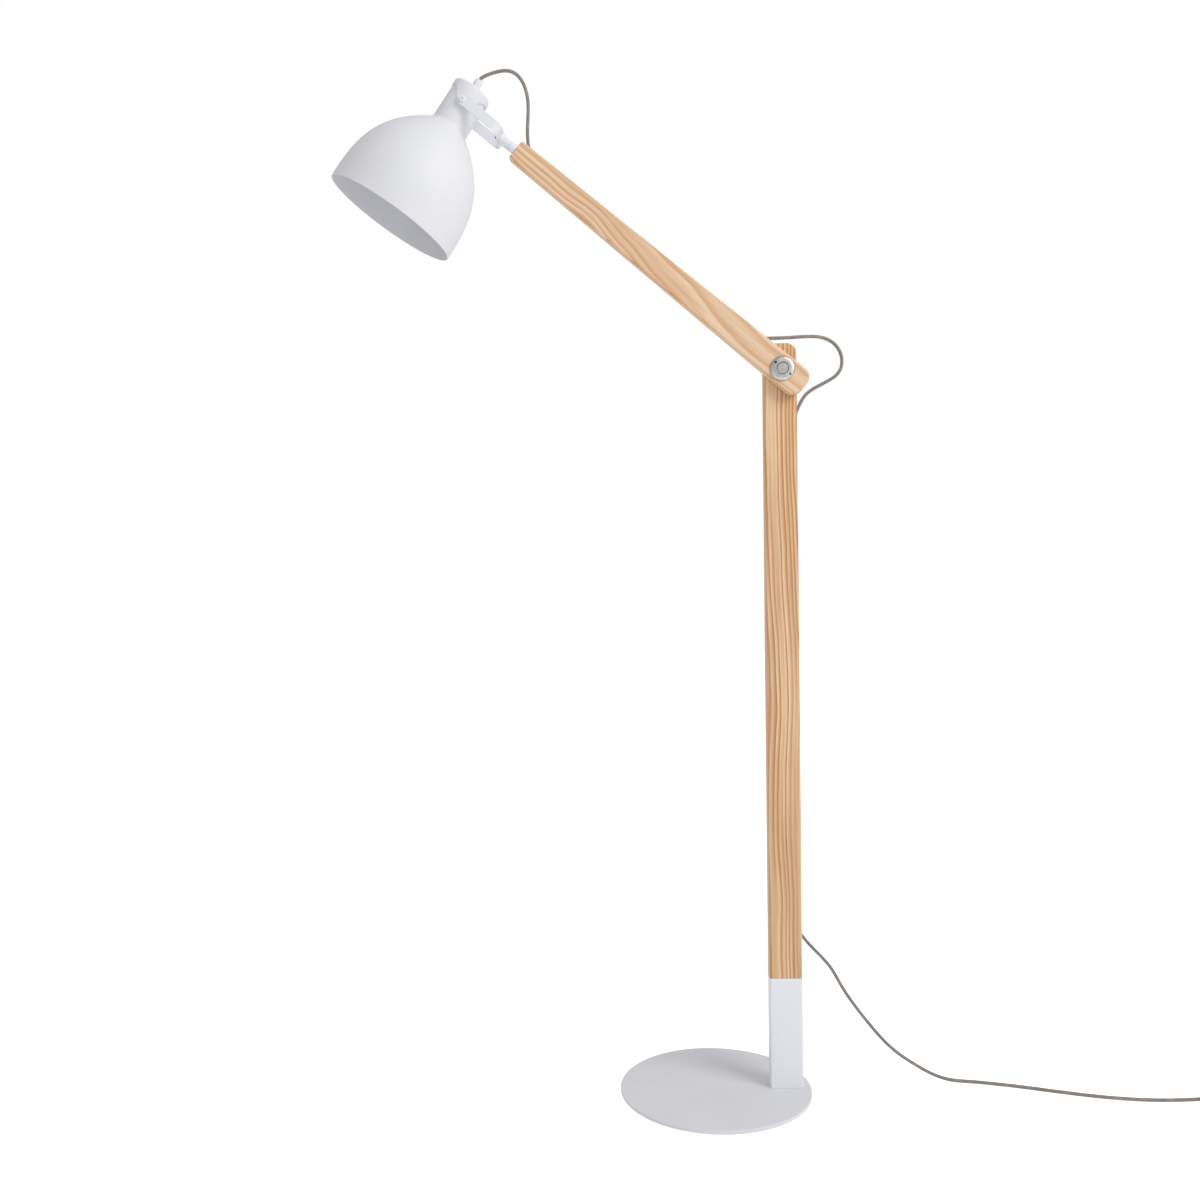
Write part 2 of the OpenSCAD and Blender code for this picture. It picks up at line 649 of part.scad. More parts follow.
module bulb_glass() {
    r = bulb_d / 2;
    c = bulb_tip + r;
    throat = bulb_cap_r + 0.7;
    color([0.97, 0.97, 0.94]) on_head() rotate_extrude() polygon(concat(
        arc(0, c, r, -90, 20, 14),
        [for (i = [1:7]) let (u = i / 7, a = r * cos(20), z0 = c + r * sin(20))
            [throat + (a - throat) * (0.5 + 0.5 * cos(180 * u)), z0 + (bulb_neck - seat - z0) * u]],
        [[0, bulb_neck - seat]]));
}

// Height of the bell at radius r on the surface held in by inset
function bell_z(r, inset) = -rim_depth + (bell_l - inset)
    * pow(1 - pow(r / (shade_d / 2 - inset), bell_side_curve), 1 / bell_top_curve);
// One side of the bell from the rim to the neck, turned into the neck by a short fillet
function bell_side(neck, inset) =
    let (f = 5, r0 = shade_d / 2 - inset, r1 = neck + f, z1 = bell_z(r1, inset), n = 26)
    concat([for (i = [0:n]) let (r = r1 + (r0 - r1) * cos(90 * i / n)) [r, bell_z(r, inset)]],
        [for (i = [1:5]) let (a = 18 * i) [r1 - f * sin(a), z1 + f * 0.55 * sin(a) + f * (1 - cos(a))]]);

module shade() {
    neck_top = cap_skirt + 7;
    outer = bell_side(neck_r, 0);
    inner = bell_side(neck_r - shade_wall, shade_wall);
    color([0.87, 0.88, 0.89]) on_head() difference() {
        rotate_extrude($fn = 120, convexity = 6)
            polygon(concat(outer, [[neck_r, neck_top], [neck_r - shade_wall, neck_top]],
                           [for (i = [len(inner) - 1:-1:0]) inner[i]]));
        tilt_bores(tilt_screw_d / 2 + seat);
    }
}

// Cable

module head_loop() { color([0.47, 0.43, 0.4]) cord(head_loop_route); }

module elbow_loop() { color([0.47, 0.43, 0.4]) cord(elbow_loop_route); }

module arm_cable() {
    color([0.47, 0.43, 0.4]) on_arm() translate([0, arm_t / 2 + cable_y, arm_cable_up])
        x_cyl(-arm_cable_in, -arm_cable_out, cable_d / 2);
}

module post_cable() {
    color([0.47, 0.43, 0.4]) translate([post_x + post_cable_x, post_t / 2 + cable_y, post_cable_end])
        cylinder(h = post_cable_top - post_cable_end, d = cable_d);
}

// A saddle clip over a cable that runs along X, on a board whose face is y = 0.
// Its flange lies on the -Z side.
module saddle() {
    r = cable_d / 2 + seat;
    difference() {
        union() {
            translate([0, cable_y, 0]) x_cyl(-clip_w / 2, clip_w / 2, r + clip_wall);
            translate([-clip_w / 2, 0, -r - clip_wall]) cube([clip_w, cable_y, 2 * (r + clip_wall)]);
            translate([-clip_w / 2, 0, -clip_flange - 3.4]) cube([clip_w, clip_wall, clip_flange]);
        }
        translate([0, cable_y, 0]) x_cyl(-clip_w, clip_w, r);
        translate([-clip_w, -1, -r]) cube([2 * clip_w, cable_y + 1, 2 * r]);
        translate([-clip_w, -5, -20]) cube([2 * clip_w, 5, 40]);
        translate([0, 0, -clip_flange]) y_cyl(-1, 5, 1.2 + seat);
    }
}

module clip_screw() {
    translate([0, 0, -clip_flange]) {
        y_cyl(-7, clip_wall + seat, 1.2);
        translate([0, clip_wall + seat / 2, 0]) rotate([-90, 0, 0]) rotate_extrude()
            polygon([[0, 0], [2.4, 0], [2.2, 0.8], [1.4, 1.3], [0, 1.5]]);
    }
}

// Places a clip or its screw at each station on the arm
module arm_clip_places() {
    on_arm() for (x = arm_clip_at) translate([-x, arm_t / 2, arm_cable_up]) children();
}

// Places a clip or its screw at each height on the post, where the cable runs along Z
module post_clip_places() {
    for (z = post_clip_at) translate([post_x + post_cable_x, post_t / 2, z]) rotate([0, 90, 0]) children();
}

module arm_clips() { color([0.8, 0.8, 0.81]) arm_clip_places() saddle(); }

module arm_clip_screws() { color([0.7, 0.7, 0.71]) arm_clip_places() clip_screw(); }

module post_clips() { color([0.8, 0.8, 0.81]) post_clip_places() saddle(); }

module post_clip_screws() { color([0.7, 0.7, 0.71]) post_clip_places() clip_screw(); }

// Mains lead

module lead_run() { color([0.47, 0.43, 0.4]) cord(lead_route); }

module lead_coil() {
    d = cable_d;
    color([0.47, 0.43, 0.4]) translate([coil_p[0], coil_p[1], tie_t]) rotate_extrude()
        translate([coil_r, d]) polygon(rounded(2 * d, 2 * d, d * 0.45, 3));
}

module coil_tie() {
    inside = 2 * cable_d + seat;
    outside = 2 * (cable_d + tie_t);
    color([0.12, 0.12, 0.12]) translate([coil_p[0] - coil_r, coil_p[1], outside / 2]) upright(tie_w)
        difference() {
            polygon(rounded(outside, outside, 1.8, 3));
            polygon(rounded(inside, inside, 1.2, 3));
        }
}

module lead_link() { color([0.47, 0.43, 0.4]) cord(link_route, side = [1, 0, 0]); }

module lead_tail() { color([0.47, 0.43, 0.4]) cord(tail_route, side = [0, 0, 1]); }

function switch_outline(inset) = rounded(switch_w - 2 * inset, switch_l - 2 * inset, 9 - inset, 6);

module switch_place() { translate([switch_p[0], switch_p[1], 0]) children(); }

module switch_base() {
    color([0.9, 0.9, 0.9]) switch_place() difference() {
        linear_extrude(switch_split - seat / 2) polygon(switch_outline(0));
        translate([0, 0, 2]) linear_extrude(switch_h) polygon(switch_outline(2));
        translate([0, 0, switch_split]) y_cyl(-switch_l, switch_l, cable_d / 2 + seat);
    }
}

module switch_cover() {
    color([0.92, 0.92, 0.92]) switch_place() difference() {
        translate([0, 0, switch_split + seat / 2]) union() {
            linear_extrude(switch_h - switch_split - 2) polygon(switch_outline(0));
            linear_extrude(switch_h - switch_split - seat / 2) polygon(switch_outline(1.6));
        }
        difference() {
            linear_extrude(switch_h - 2) polygon(switch_outline(2));
            for (s = [-1, 1])
                translate([s * (rocker_w / 2 + gap + 1), 0, rocker_z]) cube([2, 6, 5], center = true);
        }
        translate([0, 0, switch_split]) y_cyl(-switch_l, switch_l, cable_d / 2 + seat);
        linear_extrude(switch_h + 2) square([rocker_w + 2 * gap, rocker_l + 4 * gap], center = true);
        translate([0, 0, rocker_z]) x_cyl(-rocker_w / 2 - 2.5, rocker_w / 2 + 2.5, 1.2 + fit);
    }
}

module switch_rocker() {
    color([0.2, 0.2, 0.21]) switch_place() translate([0, 0, rocker_z]) {
        rotate([8, 0, 0]) rotate([0, 90, 0]) linear_extrude(rocker_w, center = true)
            polygon([[2.6, -5], [2.6, 5], [-2, rocker_l / 2 - 0.4], [-5.2, rocker_l / 2 - 0.6], [-4.2, 0],
                     [-5.2, -rocker_l / 2 + 0.6], [-2, -rocker_l / 2 + 0.4]]);
        x_cyl(-rocker_w / 2 - 2, rocker_w / 2 + 2, 1.2);
    }
}

// On the plug: +Y runs to the ends of its pins, which point to -X
module plug_place() { translate([plug_p[0], plug_p[1], 0]) rotate(90) children(); }

module plug_relief() {
    color([0.9, 0.9, 0.9]) plug_place() translate([0, 0, plug_h / 2]) difference() {
        rotate([-90, 0, 0]) rotate_extrude() polygon([[0, 0], [cable_d / 2 + 0.8, 0],
                                                      [cable_d / 2 + 2.6, relief_l], [0, relief_l]]);
        y_cyl(-1, relief_l - 6, cable_d / 2 + seat);
    }
}

module plug_body() {
    color([0.92, 0.92, 0.92]) plug_place() translate([0, relief_l, plug_h / 2]) difference() {
        linear_extrude(plug_h, center = true) polygon([[-6, 0], [6, 0], [plug_w / 2, 13],
            [plug_w / 2 - 1.5, plug_l], [1.5 - plug_w / 2, plug_l], [-plug_w / 2, 13]]);
        for (s = [-1, 1])
            translate([s * pin_pitch / 2, 0, 0]) y_cyl(plug_l - 8, plug_l + 1, pin_d / 2 - 0.25);
    }
}

module plug_pins() {
    color([0.8, 0.8, 0.8]) plug_place() translate([0, relief_l + plug_l, plug_h / 2])
        for (s = [-1, 1]) translate([s * pin_pitch / 2, 0, 0]) {
            y_cyl(-7.5, 0.01, pin_d / 2 - 0.3);
            y_cyl(0, pin_l - 1, pin_d / 2);
            translate([0, pin_l - 1, 0]) rotate([-90, 0, 0])
                cylinder(h = 1, r1 = pin_d / 2, r2 = pin_d / 2 - 0.8);
        }
}

base_pad();
base_plate();
base_screws();
sleeve();
sleeve_screws();
post();
friction_washer();
rear_washer();
clamp_knob();
arm();
face_disc();
elbow_bolt();
swivel_bush();
swivel_bolt();
spring_washer();
swivel_stem();
yoke();
tilt_screws();
tilt_washers();
tilt_nuts();
socket_cap();
cord_grip();
nipple();
lock_nut();
holder_top();
holder_body();
screw_shell();
bulb_cap();
bulb_glass();
shade();
head_loop();
arm_cable();
arm_clips();
arm_clip_screws();
elbow_loop();
post_cable();
post_clips();
post_clip_screws();
lead_run();
lead_coil();
coil_tie();
lead_link();
switch_base();
switch_cover();
switch_rocker();
lead_tail();
plug_relief();
plug_body();
plug_pins();
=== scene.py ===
import json
import math

import bpy
import numpy as np
from mathutils import Matrix, Vector


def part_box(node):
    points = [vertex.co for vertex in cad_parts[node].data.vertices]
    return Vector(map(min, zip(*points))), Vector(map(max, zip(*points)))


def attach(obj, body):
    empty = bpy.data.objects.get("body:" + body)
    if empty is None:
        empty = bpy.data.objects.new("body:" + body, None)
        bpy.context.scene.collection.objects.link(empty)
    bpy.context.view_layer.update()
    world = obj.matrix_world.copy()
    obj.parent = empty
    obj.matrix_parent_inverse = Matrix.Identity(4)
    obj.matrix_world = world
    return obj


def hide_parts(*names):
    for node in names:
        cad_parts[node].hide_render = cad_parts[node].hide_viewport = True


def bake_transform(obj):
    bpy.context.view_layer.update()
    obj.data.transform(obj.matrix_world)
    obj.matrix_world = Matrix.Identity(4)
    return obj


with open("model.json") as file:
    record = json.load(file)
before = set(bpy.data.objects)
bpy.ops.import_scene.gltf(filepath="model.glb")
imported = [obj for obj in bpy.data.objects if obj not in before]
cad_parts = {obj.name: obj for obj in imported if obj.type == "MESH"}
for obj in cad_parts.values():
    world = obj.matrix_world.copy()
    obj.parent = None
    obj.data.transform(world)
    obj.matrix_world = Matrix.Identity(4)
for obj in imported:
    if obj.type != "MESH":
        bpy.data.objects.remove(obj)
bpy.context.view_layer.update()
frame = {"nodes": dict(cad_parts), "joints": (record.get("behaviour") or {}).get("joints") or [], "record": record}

mm = 0.001
nodes = frame["nodes"]
joints = {joint["name"]: joint for joint in frame["joints"]}

# Places that the rest of the script hangs from; the elbow and tilt pivots are read from the frame, the head's lean
# and offset are given
elbow = Vector(joints["elbow"]["pos_m"])
tilt = Vector(joints["head_tilt"]["pos_m"])
tiltReach = (tilt - elbow).length
armAngle = math.atan2(tilt.z - elbow.z, elbow.x - tilt.x)
headLean = math.radians(33.5)
tiltOff = 4.5 * mm
onArm = Matrix.Translation(elbow) @ Matrix.Rotation(armAngle, 4, "Y")
onYoke = onArm @ Matrix.Translation((-tiltReach, 0, 0))
onTilt = Matrix.Translation(tilt) @ Matrix.Rotation(headLean, 4, "Y")
onHead = onTilt @ Matrix.Translation((-tiltOff, 0, 0))
postX = elbow.x
alongX = Matrix.Rotation(math.pi / 2, 4, "Y")
towardsFront = Matrix.Rotation(math.pi / 2, 4, "X")
towardsBack = Matrix.Rotation(-math.pi / 2, 4, "X")


def at(x, y, z):
    return Matrix.Translation((x, y, z))


# The camera stands left of the post at half the lamp's height, rolled by about half a degree
lens = dict(place=(-0.1638, -1.641, 0.7248), turn=(math.pi / 2, 0.0097, 0), focal=33.36, sensor=36)
cameraData = bpy.data.cameras.new("camera")
cameraData.lens = lens["focal"]
cameraData.sensor_width = lens["sensor"]
camera = bpy.data.objects.new("camera", cameraData)
camera.location = lens["place"]
camera.rotation_euler = lens["turn"]
bpy.context.scene.collection.objects.link(camera)
bpy.context.scene.camera = camera


class Wire:
    # One output of a node tree, which arithmetic can be done on
    def __init__(self, graph, socket):
        self.graph, self.socket = graph, socket

    def __add__(self, other):
        return self.graph.math("ADD", self, other)

    def __radd__(self, other):
        return self.graph.math("ADD", other, self)

    def __sub__(self, other):
        return self.graph.math("SUBTRACT", self, other)

    def __rsub__(self, other):
        return self.graph.math("SUBTRACT", other, self)

    def __mul__(self, other):
        return self.graph.math("MULTIPLY", self, other)

    def __rmul__(self, other):
        return self.graph.math("MULTIPLY", other, self)

    def __pow__(self, other):
        return self.graph.math("POWER", self, other)

    def __rpow__(self, other):
        return self.graph.math("POWER", other, self)

    def __abs__(self):
        return self.graph.math("ABSOLUTE", self)

    def sine(self):
        return self.graph.math("SINE", self)

    def fract(self):
        return self.graph.math("FRACT", self)

    def ramp(self, low, high, first=0.0, last=1.0):
        limits = {"Value": self, "From Min": low, "From Max": high, "To Min": first, "To Max": last}
        return self.graph.node("ShaderNodeMapRange", {"interpolation_type": "SMOOTHSTEP"}, "Result", limits)


class Graph:
    # A new material, or a new world for the sky, with one method that makes any node
    def __init__(self, name, world=False):
        self.owner = (bpy.data.worlds if world else bpy.data.materials).new(name)
        self.owner.use_nodes = True
        self.tree = self.owner.node_tree
        self.shader = self.tree.nodes["Background" if world else "Principled BSDF"]

    def feed(self, socket, value):
        if isinstance(value, Wire):
            self.tree.links.new(value.socket, socket)
        elif isinstance(value, (tuple, list)) and len(socket.default_value) == 4:
            socket.default_value = (*value, 1)[:4]
        else:
            socket.default_value = value

    def node(self, kind, settings, output, inputs):
        made = self.tree.nodes.new(kind)
        for name, value in settings.items():
            setattr(made, name, value)
        for name, value in inputs.items():
            self.feed(made.inputs[name], value)
        return Wire(self, made.outputs[output])

    def math(self, operation, *values):
        return self.node("ShaderNodeMath", {"operation": operation}, 0, dict(enumerate(values)))

    def vector(self, operation, *values):
        return self.node("ShaderNodeVectorMath", {"operation": operation}, 0, dict(enumerate(values)))

    def mix(self, factor, first, second):
        # Sockets 6 and 7 are the two colours, and output 2 is the mixed one
        return self.node("ShaderNodeMix", {"data_type": "RGBA"}, 2, {0: factor, 6: first, 7: second})

    def place(self, output="Object"):
        return self.node("ShaderNodeTexCoord", {}, output, {})

    def scaled(self, place, scale):
        return self.vector("MULTIPLY", place, scale)

    def noise(self, place, scale, detail=3.0, roughness=0.5, output="Fac"):
        return self.node("ShaderNodeTexNoise", {}, output,
                         {"Vector": place, "Scale": scale, "Detail": detail, "Roughness": roughness})

    def split(self, place):
        x = self.node("ShaderNodeSeparateXYZ", {}, 0, {0: place})
        return [Wire(self, output) for output in x.socket.node.outputs]

    def bump(self, height, strength, distance):
        return self.node("ShaderNodeBump", {}, "Normal",
                         {"Height": height, "Strength": strength, "Distance": distance})

    def surface(self, **inputs):
        names = {"color": "Base Color", "roughness": "Roughness", "metallic": "Metallic", "normal": "Normal",
                 "coat": "Coat Weight", "specular": "Specular IOR Level", "sheen": "Sheen Weight",
                 "subsurface": "Subsurface Weight", "anisotropy": "Anisotropic"}
        for key, value in inputs.items():
            self.feed(self.shader.inputs[names[key]], value)
        return self.owner


def powderCoat(name, color, roughness, peel=0.12):
    # Baked powder: a fine orange peel over very faint clouds, with a few dull specks
    g = Graph(name)
    place = g.place()
    clouds = g.noise(place, 9, 4)
    grit = g.noise(place, 1500, 2)
    dimples = g.noise(place, 620, 2)
    specks = g.noise(place, 380, 1).ramp(0.72, 0.78)
    tone = clouds.ramp(0.3, 0.7, 0.0, 0.5) + specks * 0.25
    duller = tuple(0.93 * c for c in color)
    return g.surface(color=g.mix(tone, color, duller), specular=0.3,
                     roughness=clouds * 0.08 + grit * 0.1 + (roughness - 0.09),
                     normal=g.bump(dimples * 0.75 + grit * 0.25, peel, 0.0004))


def pine(name, along, early, late, heart, rings):
    # Pine cut off the heart: growth rings of uneven width that wander, with fibres along the board
    g = Graph(name)
    x, y, z = g.split(g.place())
    if along == "x":
        x, z = z, x
    place = g.node("ShaderNodeCombineXYZ", {}, 0, {"X": x, "Y": y, "Z": z})
    drift = g.noise(g.scaled(place, (7, 7, rings["bend"])), 1, 2, 0.4)
    wander = g.noise(g.scaled(place, (26, 26, 5.5)), 1, 3, 0.5)
    across = x - heart[0] + z * rings["slant"]
    across = across + (drift - 0.5) * rings["drift"] + (wander - 0.5) * rings["wander"]
    deep = y - heart[1]
    grown = g.math("SQRT", across * across + deep * deep) * rings["perMetre"]
    uneven = g.noise(g.node("ShaderNodeCombineXYZ", {}, 0, {"X": grown * 0.4}), 1, 2, 0.5)
    year = grown + uneven * 1.3
    phase = year.fract()
    strength = g.noise(g.node("ShaderNodeCombineXYZ", {}, 0, {"X": year * 0.55, "Y": z * 1.5}), 1, 1, 0.5)
    lateWood = phase.ramp(0.1, 0.9) ** 1.3 * (1 - phase.ramp(0.9, 1.0)) * strength.ramp(0.3, 0.6, 0.25, 1.0)
    zones = g.noise(g.node("ShaderNodeCombineXYZ", {}, 0, {"X": grown * 0.33, "Y": z * 2.2}), 1, 3, 0.5)
    fibres = g.noise(g.scaled(place, (620, 620, 9)), 1, 4, 0.6)
    pores = g.noise(g.scaled(place, (1500, 1500, 40)), 1, 2, 0.5).ramp(0.6, 0.74)
    warm = tuple(0.5 * (p + q) for p, q in zip(early, late))
    body = g.mix(zones.ramp(0.35, 0.65, 0.0, 0.75), early, warm)
    body = g.mix(lateWood * rings["contrast"], body, late)
    body = g.mix(fibres.ramp(0.35, 0.7, 0.0, 0.26), body, tuple(0.7 * c for c in late))
    body = g.mix(pores * 0.16, body, tuple(0.4 * c for c in late))
    return g.surface(color=body, roughness=fibres * 0.14 + lateWood * -0.07 + 0.5, specular=0.35,
                     normal=g.bump(fibres * 0.6 + lateWood * 0.3 - pores * 0.3, 0.14, 0.0003))


def metal(name, color, roughness, brushed=(60, 60, 60), wear=0.2):
    # Plated or bare metal with fine brushing and a little handling haze
    g = Graph(name)
    place = g.place()
    lines = g.noise(g.scaled(place, brushed), 40, 3, 0.6)
    haze = g.noise(place, 70, 3)
    dark = tuple(0.72 * c for c in color)
    return g.surface(color=g.mix(haze.ramp(0.4, 0.75, 0.0, wear), color, dark), metallic=1.0,
                     roughness=lines * 0.14 + haze * 0.1 + (roughness - 0.12),
                     normal=g.bump(lines, 0.12, 0.0002))


def spunMetal(name, color, roughness):
    # Turned face: fine rings round the local z axis, with soft radial haze
    g = Graph(name)
    place = g.place()
    x, y, z = g.split(place)
    radius = g.math("SQRT", x * x + y * y)
    rings = g.noise(g.node("ShaderNodeCombineXYZ", {}, 0, {"X": radius * 9000, "Y": z * 500}), 1, 3, 0.7)
    haze = g.noise(place, 260, 4, 0.6)
    hazed = tuple(0.66 * c for c in color)
    tone = haze.ramp(0.35, 0.75, 0.0, 0.5) + rings * 0.15
    return g.surface(color=g.mix(tone, color, hazed), metallic=1.0,
                     roughness=rings * 0.2 + haze * 0.12 + (roughness - 0.15), anisotropy=0.4,
                     normal=g.bump(rings, 0.2, 0.0002))


def plastic(name, color, roughness, coat=0.0, grain=900):
    # Moulded plastic: spark-eroded grain with slow gloss changes
    g = Graph(name)
    place = g.place()
    fine = g.noise(place, grain, 2)
    slow = g.noise(place, 45, 3)
    return g.surface(color=g.mix(slow.ramp(0.3, 0.7, 0.0, 0.6), color, tuple(0.9 * c for c in color)),
                     roughness=fine * 0.14 + slow * 0.08 + (roughness - 0.11), coat=coat,
                     normal=g.bump(fine, 0.18, 0.0003))


def felt(name, color, scale):
    g = Graph(name)
    place = g.place()
    hairs = g.noise(place, scale, 5, 0.7)
    return g.surface(color=g.mix(hairs, tuple(0.6 * c for c in color), tuple(1.3 * c for c in color)),
                     roughness=hairs * 0.1 + 0.82, sheen=0.2, normal=g.bump(hairs, 0.5, 0.0006))


def opal(name):
    g = Graph(name)
    place = g.place()
    milk = g.noise(place, 30, 3)
    return g.surface(color=g.mix(milk.ramp(0.3, 0.7), (0.86, 0.86, 0.83), (0.93, 0.93, 0.91)),
                     roughness=milk * 0.08 + 0.16, subsurface=0.3)


def cloth(name, light, dark):
    # Braided sleeve: u runs along the cable in metres and v round it, so the weave bends with it
    strands, lay = 6, 3.4 * mm
    g = Graph(name)
    u, v, _ = g.split(g.place("UV"))
    turn = v * (2 * math.pi * strands)
    length = u * (2 * math.pi / lay)
    over = (length + turn).sine()
    under = (length - turn).sine()
    weave = abs(over * under) ** 0.5
    picks = (over * under).ramp(-0.25, 0.25)
    yarn = g.noise(g.node("ShaderNodeCombineXYZ", {}, 0, {"X": u * 4200, "Y": v * 30}), 1, 2, 0.6)
    worn = g.noise(g.node("ShaderNodeCombineXYZ", {}, 0, {"X": u * 60, "Y": v * 2}), 1, 3, 0.5)
    threads = g.mix(picks, dark, light)
    threads = g.mix(yarn.ramp(0.3, 0.7, 0.0, 0.5), threads, tuple(0.55 * c for c in dark))
    threads = g.mix(worn.ramp(0.4, 0.7, 0.0, 0.35), threads, tuple(1.25 * c for c in light))
    # Along the edges of each strand the colour goes to a third of the dark yarn: painted shade between the strands
    return g.surface(color=g.mix(weave.ramp(0.0, 0.5), tuple(0.3 * c for c in dark), threads),
                     roughness=yarn * 0.1 + 0.8, sheen=0.25, specular=0.25,
                     normal=g.bump(weave * 0.8 + yarn * 0.3, 0.7, 0.0007))


white = (0.80, 0.81, 0.84)
# Base, sleeve and shade share one white powder coat; the base is painted darker (painted shade), the sleeve
# lighter (painted light) and the shade a little darker (painted shade) for how light falls on each
finishes = {
    "base_paint": powderCoat("basePaint", (0.75, 0.755, 0.785), 0.5, 0.16),
    "sleeve_paint": powderCoat("sleevePaint", (0.85, 0.86, 0.89), 0.5),
    "yoke_paint": powderCoat("yokePaint", white, 0.45),
    "shade_paint": powderCoat("shadePaint", (0.77, 0.775, 0.8), 0.55),
    "screw_paint": powderCoat("screwPaint", (0.84, 0.85, 0.87), 0.32),
    "pad_rubber": felt("padRubber", (0.05, 0.05, 0.055), 900),
    "zinc_screw": metal("zincScrew", (0.66, 0.67, 0.69), 0.34),
    "black_steel": metal("blackSteel", (0.09, 0.09, 0.10), 0.42),
    "post_pine": pine("postPine", "z", (0.91, 0.66, 0.41), (0.5, 0.21, 0.065), (-0.045, 0.03),
                      dict(perMetre=215, slant=0.008, bend=2.4, drift=0.04, wander=0.007, contrast=1.0)),
    "arm_pine": pine("armPine", "x", (0.87, 0.65, 0.45), (0.62, 0.33, 0.145), (0.006, 0.026),
                     dict(perMetre=200, slant=0.075, bend=3.4, drift=0.07, wander=0.01, contrast=0.85)),
    "fibre": felt("fibre", (0.2, 0.16, 0.13), 500),
    "black_plastic": plastic("blackPlastic", (0.03, 0.03, 0.032), 0.5),
    "satin_nickel": spunMetal("satinNickel", (0.53, 0.52, 0.505), 0.4),
    "bush_nickel": metal("bushNickel", (0.8, 0.8, 0.82), 0.3, (400, 20, 400)),
    "nylon": plastic("nylon", (0.84, 0.84, 0.81), 0.45),
    "white_plastic": plastic("whitePlastic", (0.80, 0.81, 0.82), 0.38),
    "rocker_plastic": plastic("rockerPlastic", (0.045, 0.045, 0.05), 0.35),
    "brass": metal("brass", (0.72, 0.54, 0.26), 0.3),
    "holder_plastic": plastic("holderPlastic", (0.82, 0.82, 0.8), 0.25, 0.2),
    "bulb_metal": metal("bulbMetal", (0.72, 0.72, 0.73), 0.25),
    "opal_glass": opal("opalGlass"),
    "cable_cloth": cloth("cableCloth", (0.46, 0.405, 0.36), (0.27, 0.235, 0.21)),
    "clip_metal": metal("clipMetal", (0.74, 0.74, 0.75), 0.3),
    "pin_nickel": metal("pinNickel", (0.8, 0.79, 0.77), 0.2),
}
for part in frame["record"]["subparts"]:
    slots = nodes[part["node"]].data.materials
    slots.clear()
    slots.append(finishes[part["material_slot"]])
print("materials made")


creaseAngle = math.radians(38)


def arc(x, y, radius, first, last, steps):
    # Points along an arc, from the first to the last angle in degrees
    angles = [math.radians(first + (last - first) * i / steps) for i in range(steps + 1)]
    return [(x + radius * math.cos(a), y + radius * math.sin(a)) for a in angles]


def makePiece(name, verts, faces, body, slot, place=None, stands=(), uvs=None):
    # Makes one named piece, rides it on its body, and hides the CAD nodes that it stands for
    mesh = bpy.data.meshes.new(name)
    mesh.from_pydata([tuple(v) for v in verts], [], [tuple(f) for f in faces])
    mesh.polygons.foreach_set("use_smooth", [True] * len(mesh.polygons))
    if uvs is not None:
        layer = mesh.uv_layers.new(name="weave")
        layer.data.foreach_set("uv", [c for face in uvs for corner in face for c in corner])
    mesh.materials.append(finishes[slot])
    piece = bpy.data.objects.new(name, mesh)
    bpy.context.scene.collection.objects.link(piece)
    if place is not None:
        piece.matrix_world = place
    if uvs is None:
        mesh.set_sharp_from_angle(angle=creaseAngle)
        evened = piece.modifiers.new("evenNormals", "WEIGHTED_NORMAL")
        evened.weight, evened.keep_sharp = 60, True
    if stands:
        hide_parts(*stands)
    if body:
        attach(piece, body)
    return piece


def lathe(profile, sides=128, closed=False):
    # Turns (radius, height) points round z; the points run up the outside
    verts, rings = [], []
    for radius, height in profile:
        start = len(verts)
        if radius < 1e-9:
            verts.append((0, 0, height))
            rings.append([start] * sides)
            continue
        turns = [2 * math.pi * k / sides for k in range(sides)]
        verts += [(radius * math.cos(t), radius * math.sin(t), height) for t in turns]
        rings.append(list(range(start, start + sides)))
    pairs = list(zip(rings, rings[1:])) + ([(rings[-1], rings[0])] if closed else [])
    faces = []
    for low, high in pairs:
        for k in range(sides):
            corners = [low[k], low[k - sides + 1], high[k - sides + 1], high[k]]
            faces.append([c for i, c in enumerate(corners) if c not in corners[:i]])
    return verts, faces


def board(outline, layers, toPoint):
    # Stacks copies of outline(inset) at each height, and closes both ends
    verts, faces = [], []
    for inset, height in layers:
        ring = outline(inset)
        verts += [toPoint(u, v, height) for u, v in ring]
    count = len(ring)
    for level in range(len(layers) - 1):
        for k in range(count):
            n = (k + 1) % count
            low, high = level * count, (level + 1) * count
            faces.append((low + k, low + n, high + n, high + k))
    faces.append(range(count - 1, -1, -1))
    faces.append(range((len(layers) - 1) * count, len(layers) * count))
    return verts, faces


def roundLayers(thick, radius, steps=6):
    # Layers of a board of that thickness whose two long edges are rounded
    edge = arc(radius, radius, radius, 270, 180, steps)
    low = [(inset, height - thick / 2) for inset, height in edge]
    return low + [(inset, -height) for inset, height in reversed(low)]


def inXZ(u, v, height):
    return (u, -height, v)


def inXY(u, v, height):
    return (u, v, height)


def roundedBox(w, h, r, steps=6):
    return (arc(w / 2 - r, h / 2 - r, r, 0, 90, steps) + arc(r - w / 2, h / 2 - r, r, 90, 180, steps)
            + arc(r - w / 2, r - h / 2, r, 180, 270, steps) + arc(w / 2 - r, r - h / 2, r, 270, 360, steps))


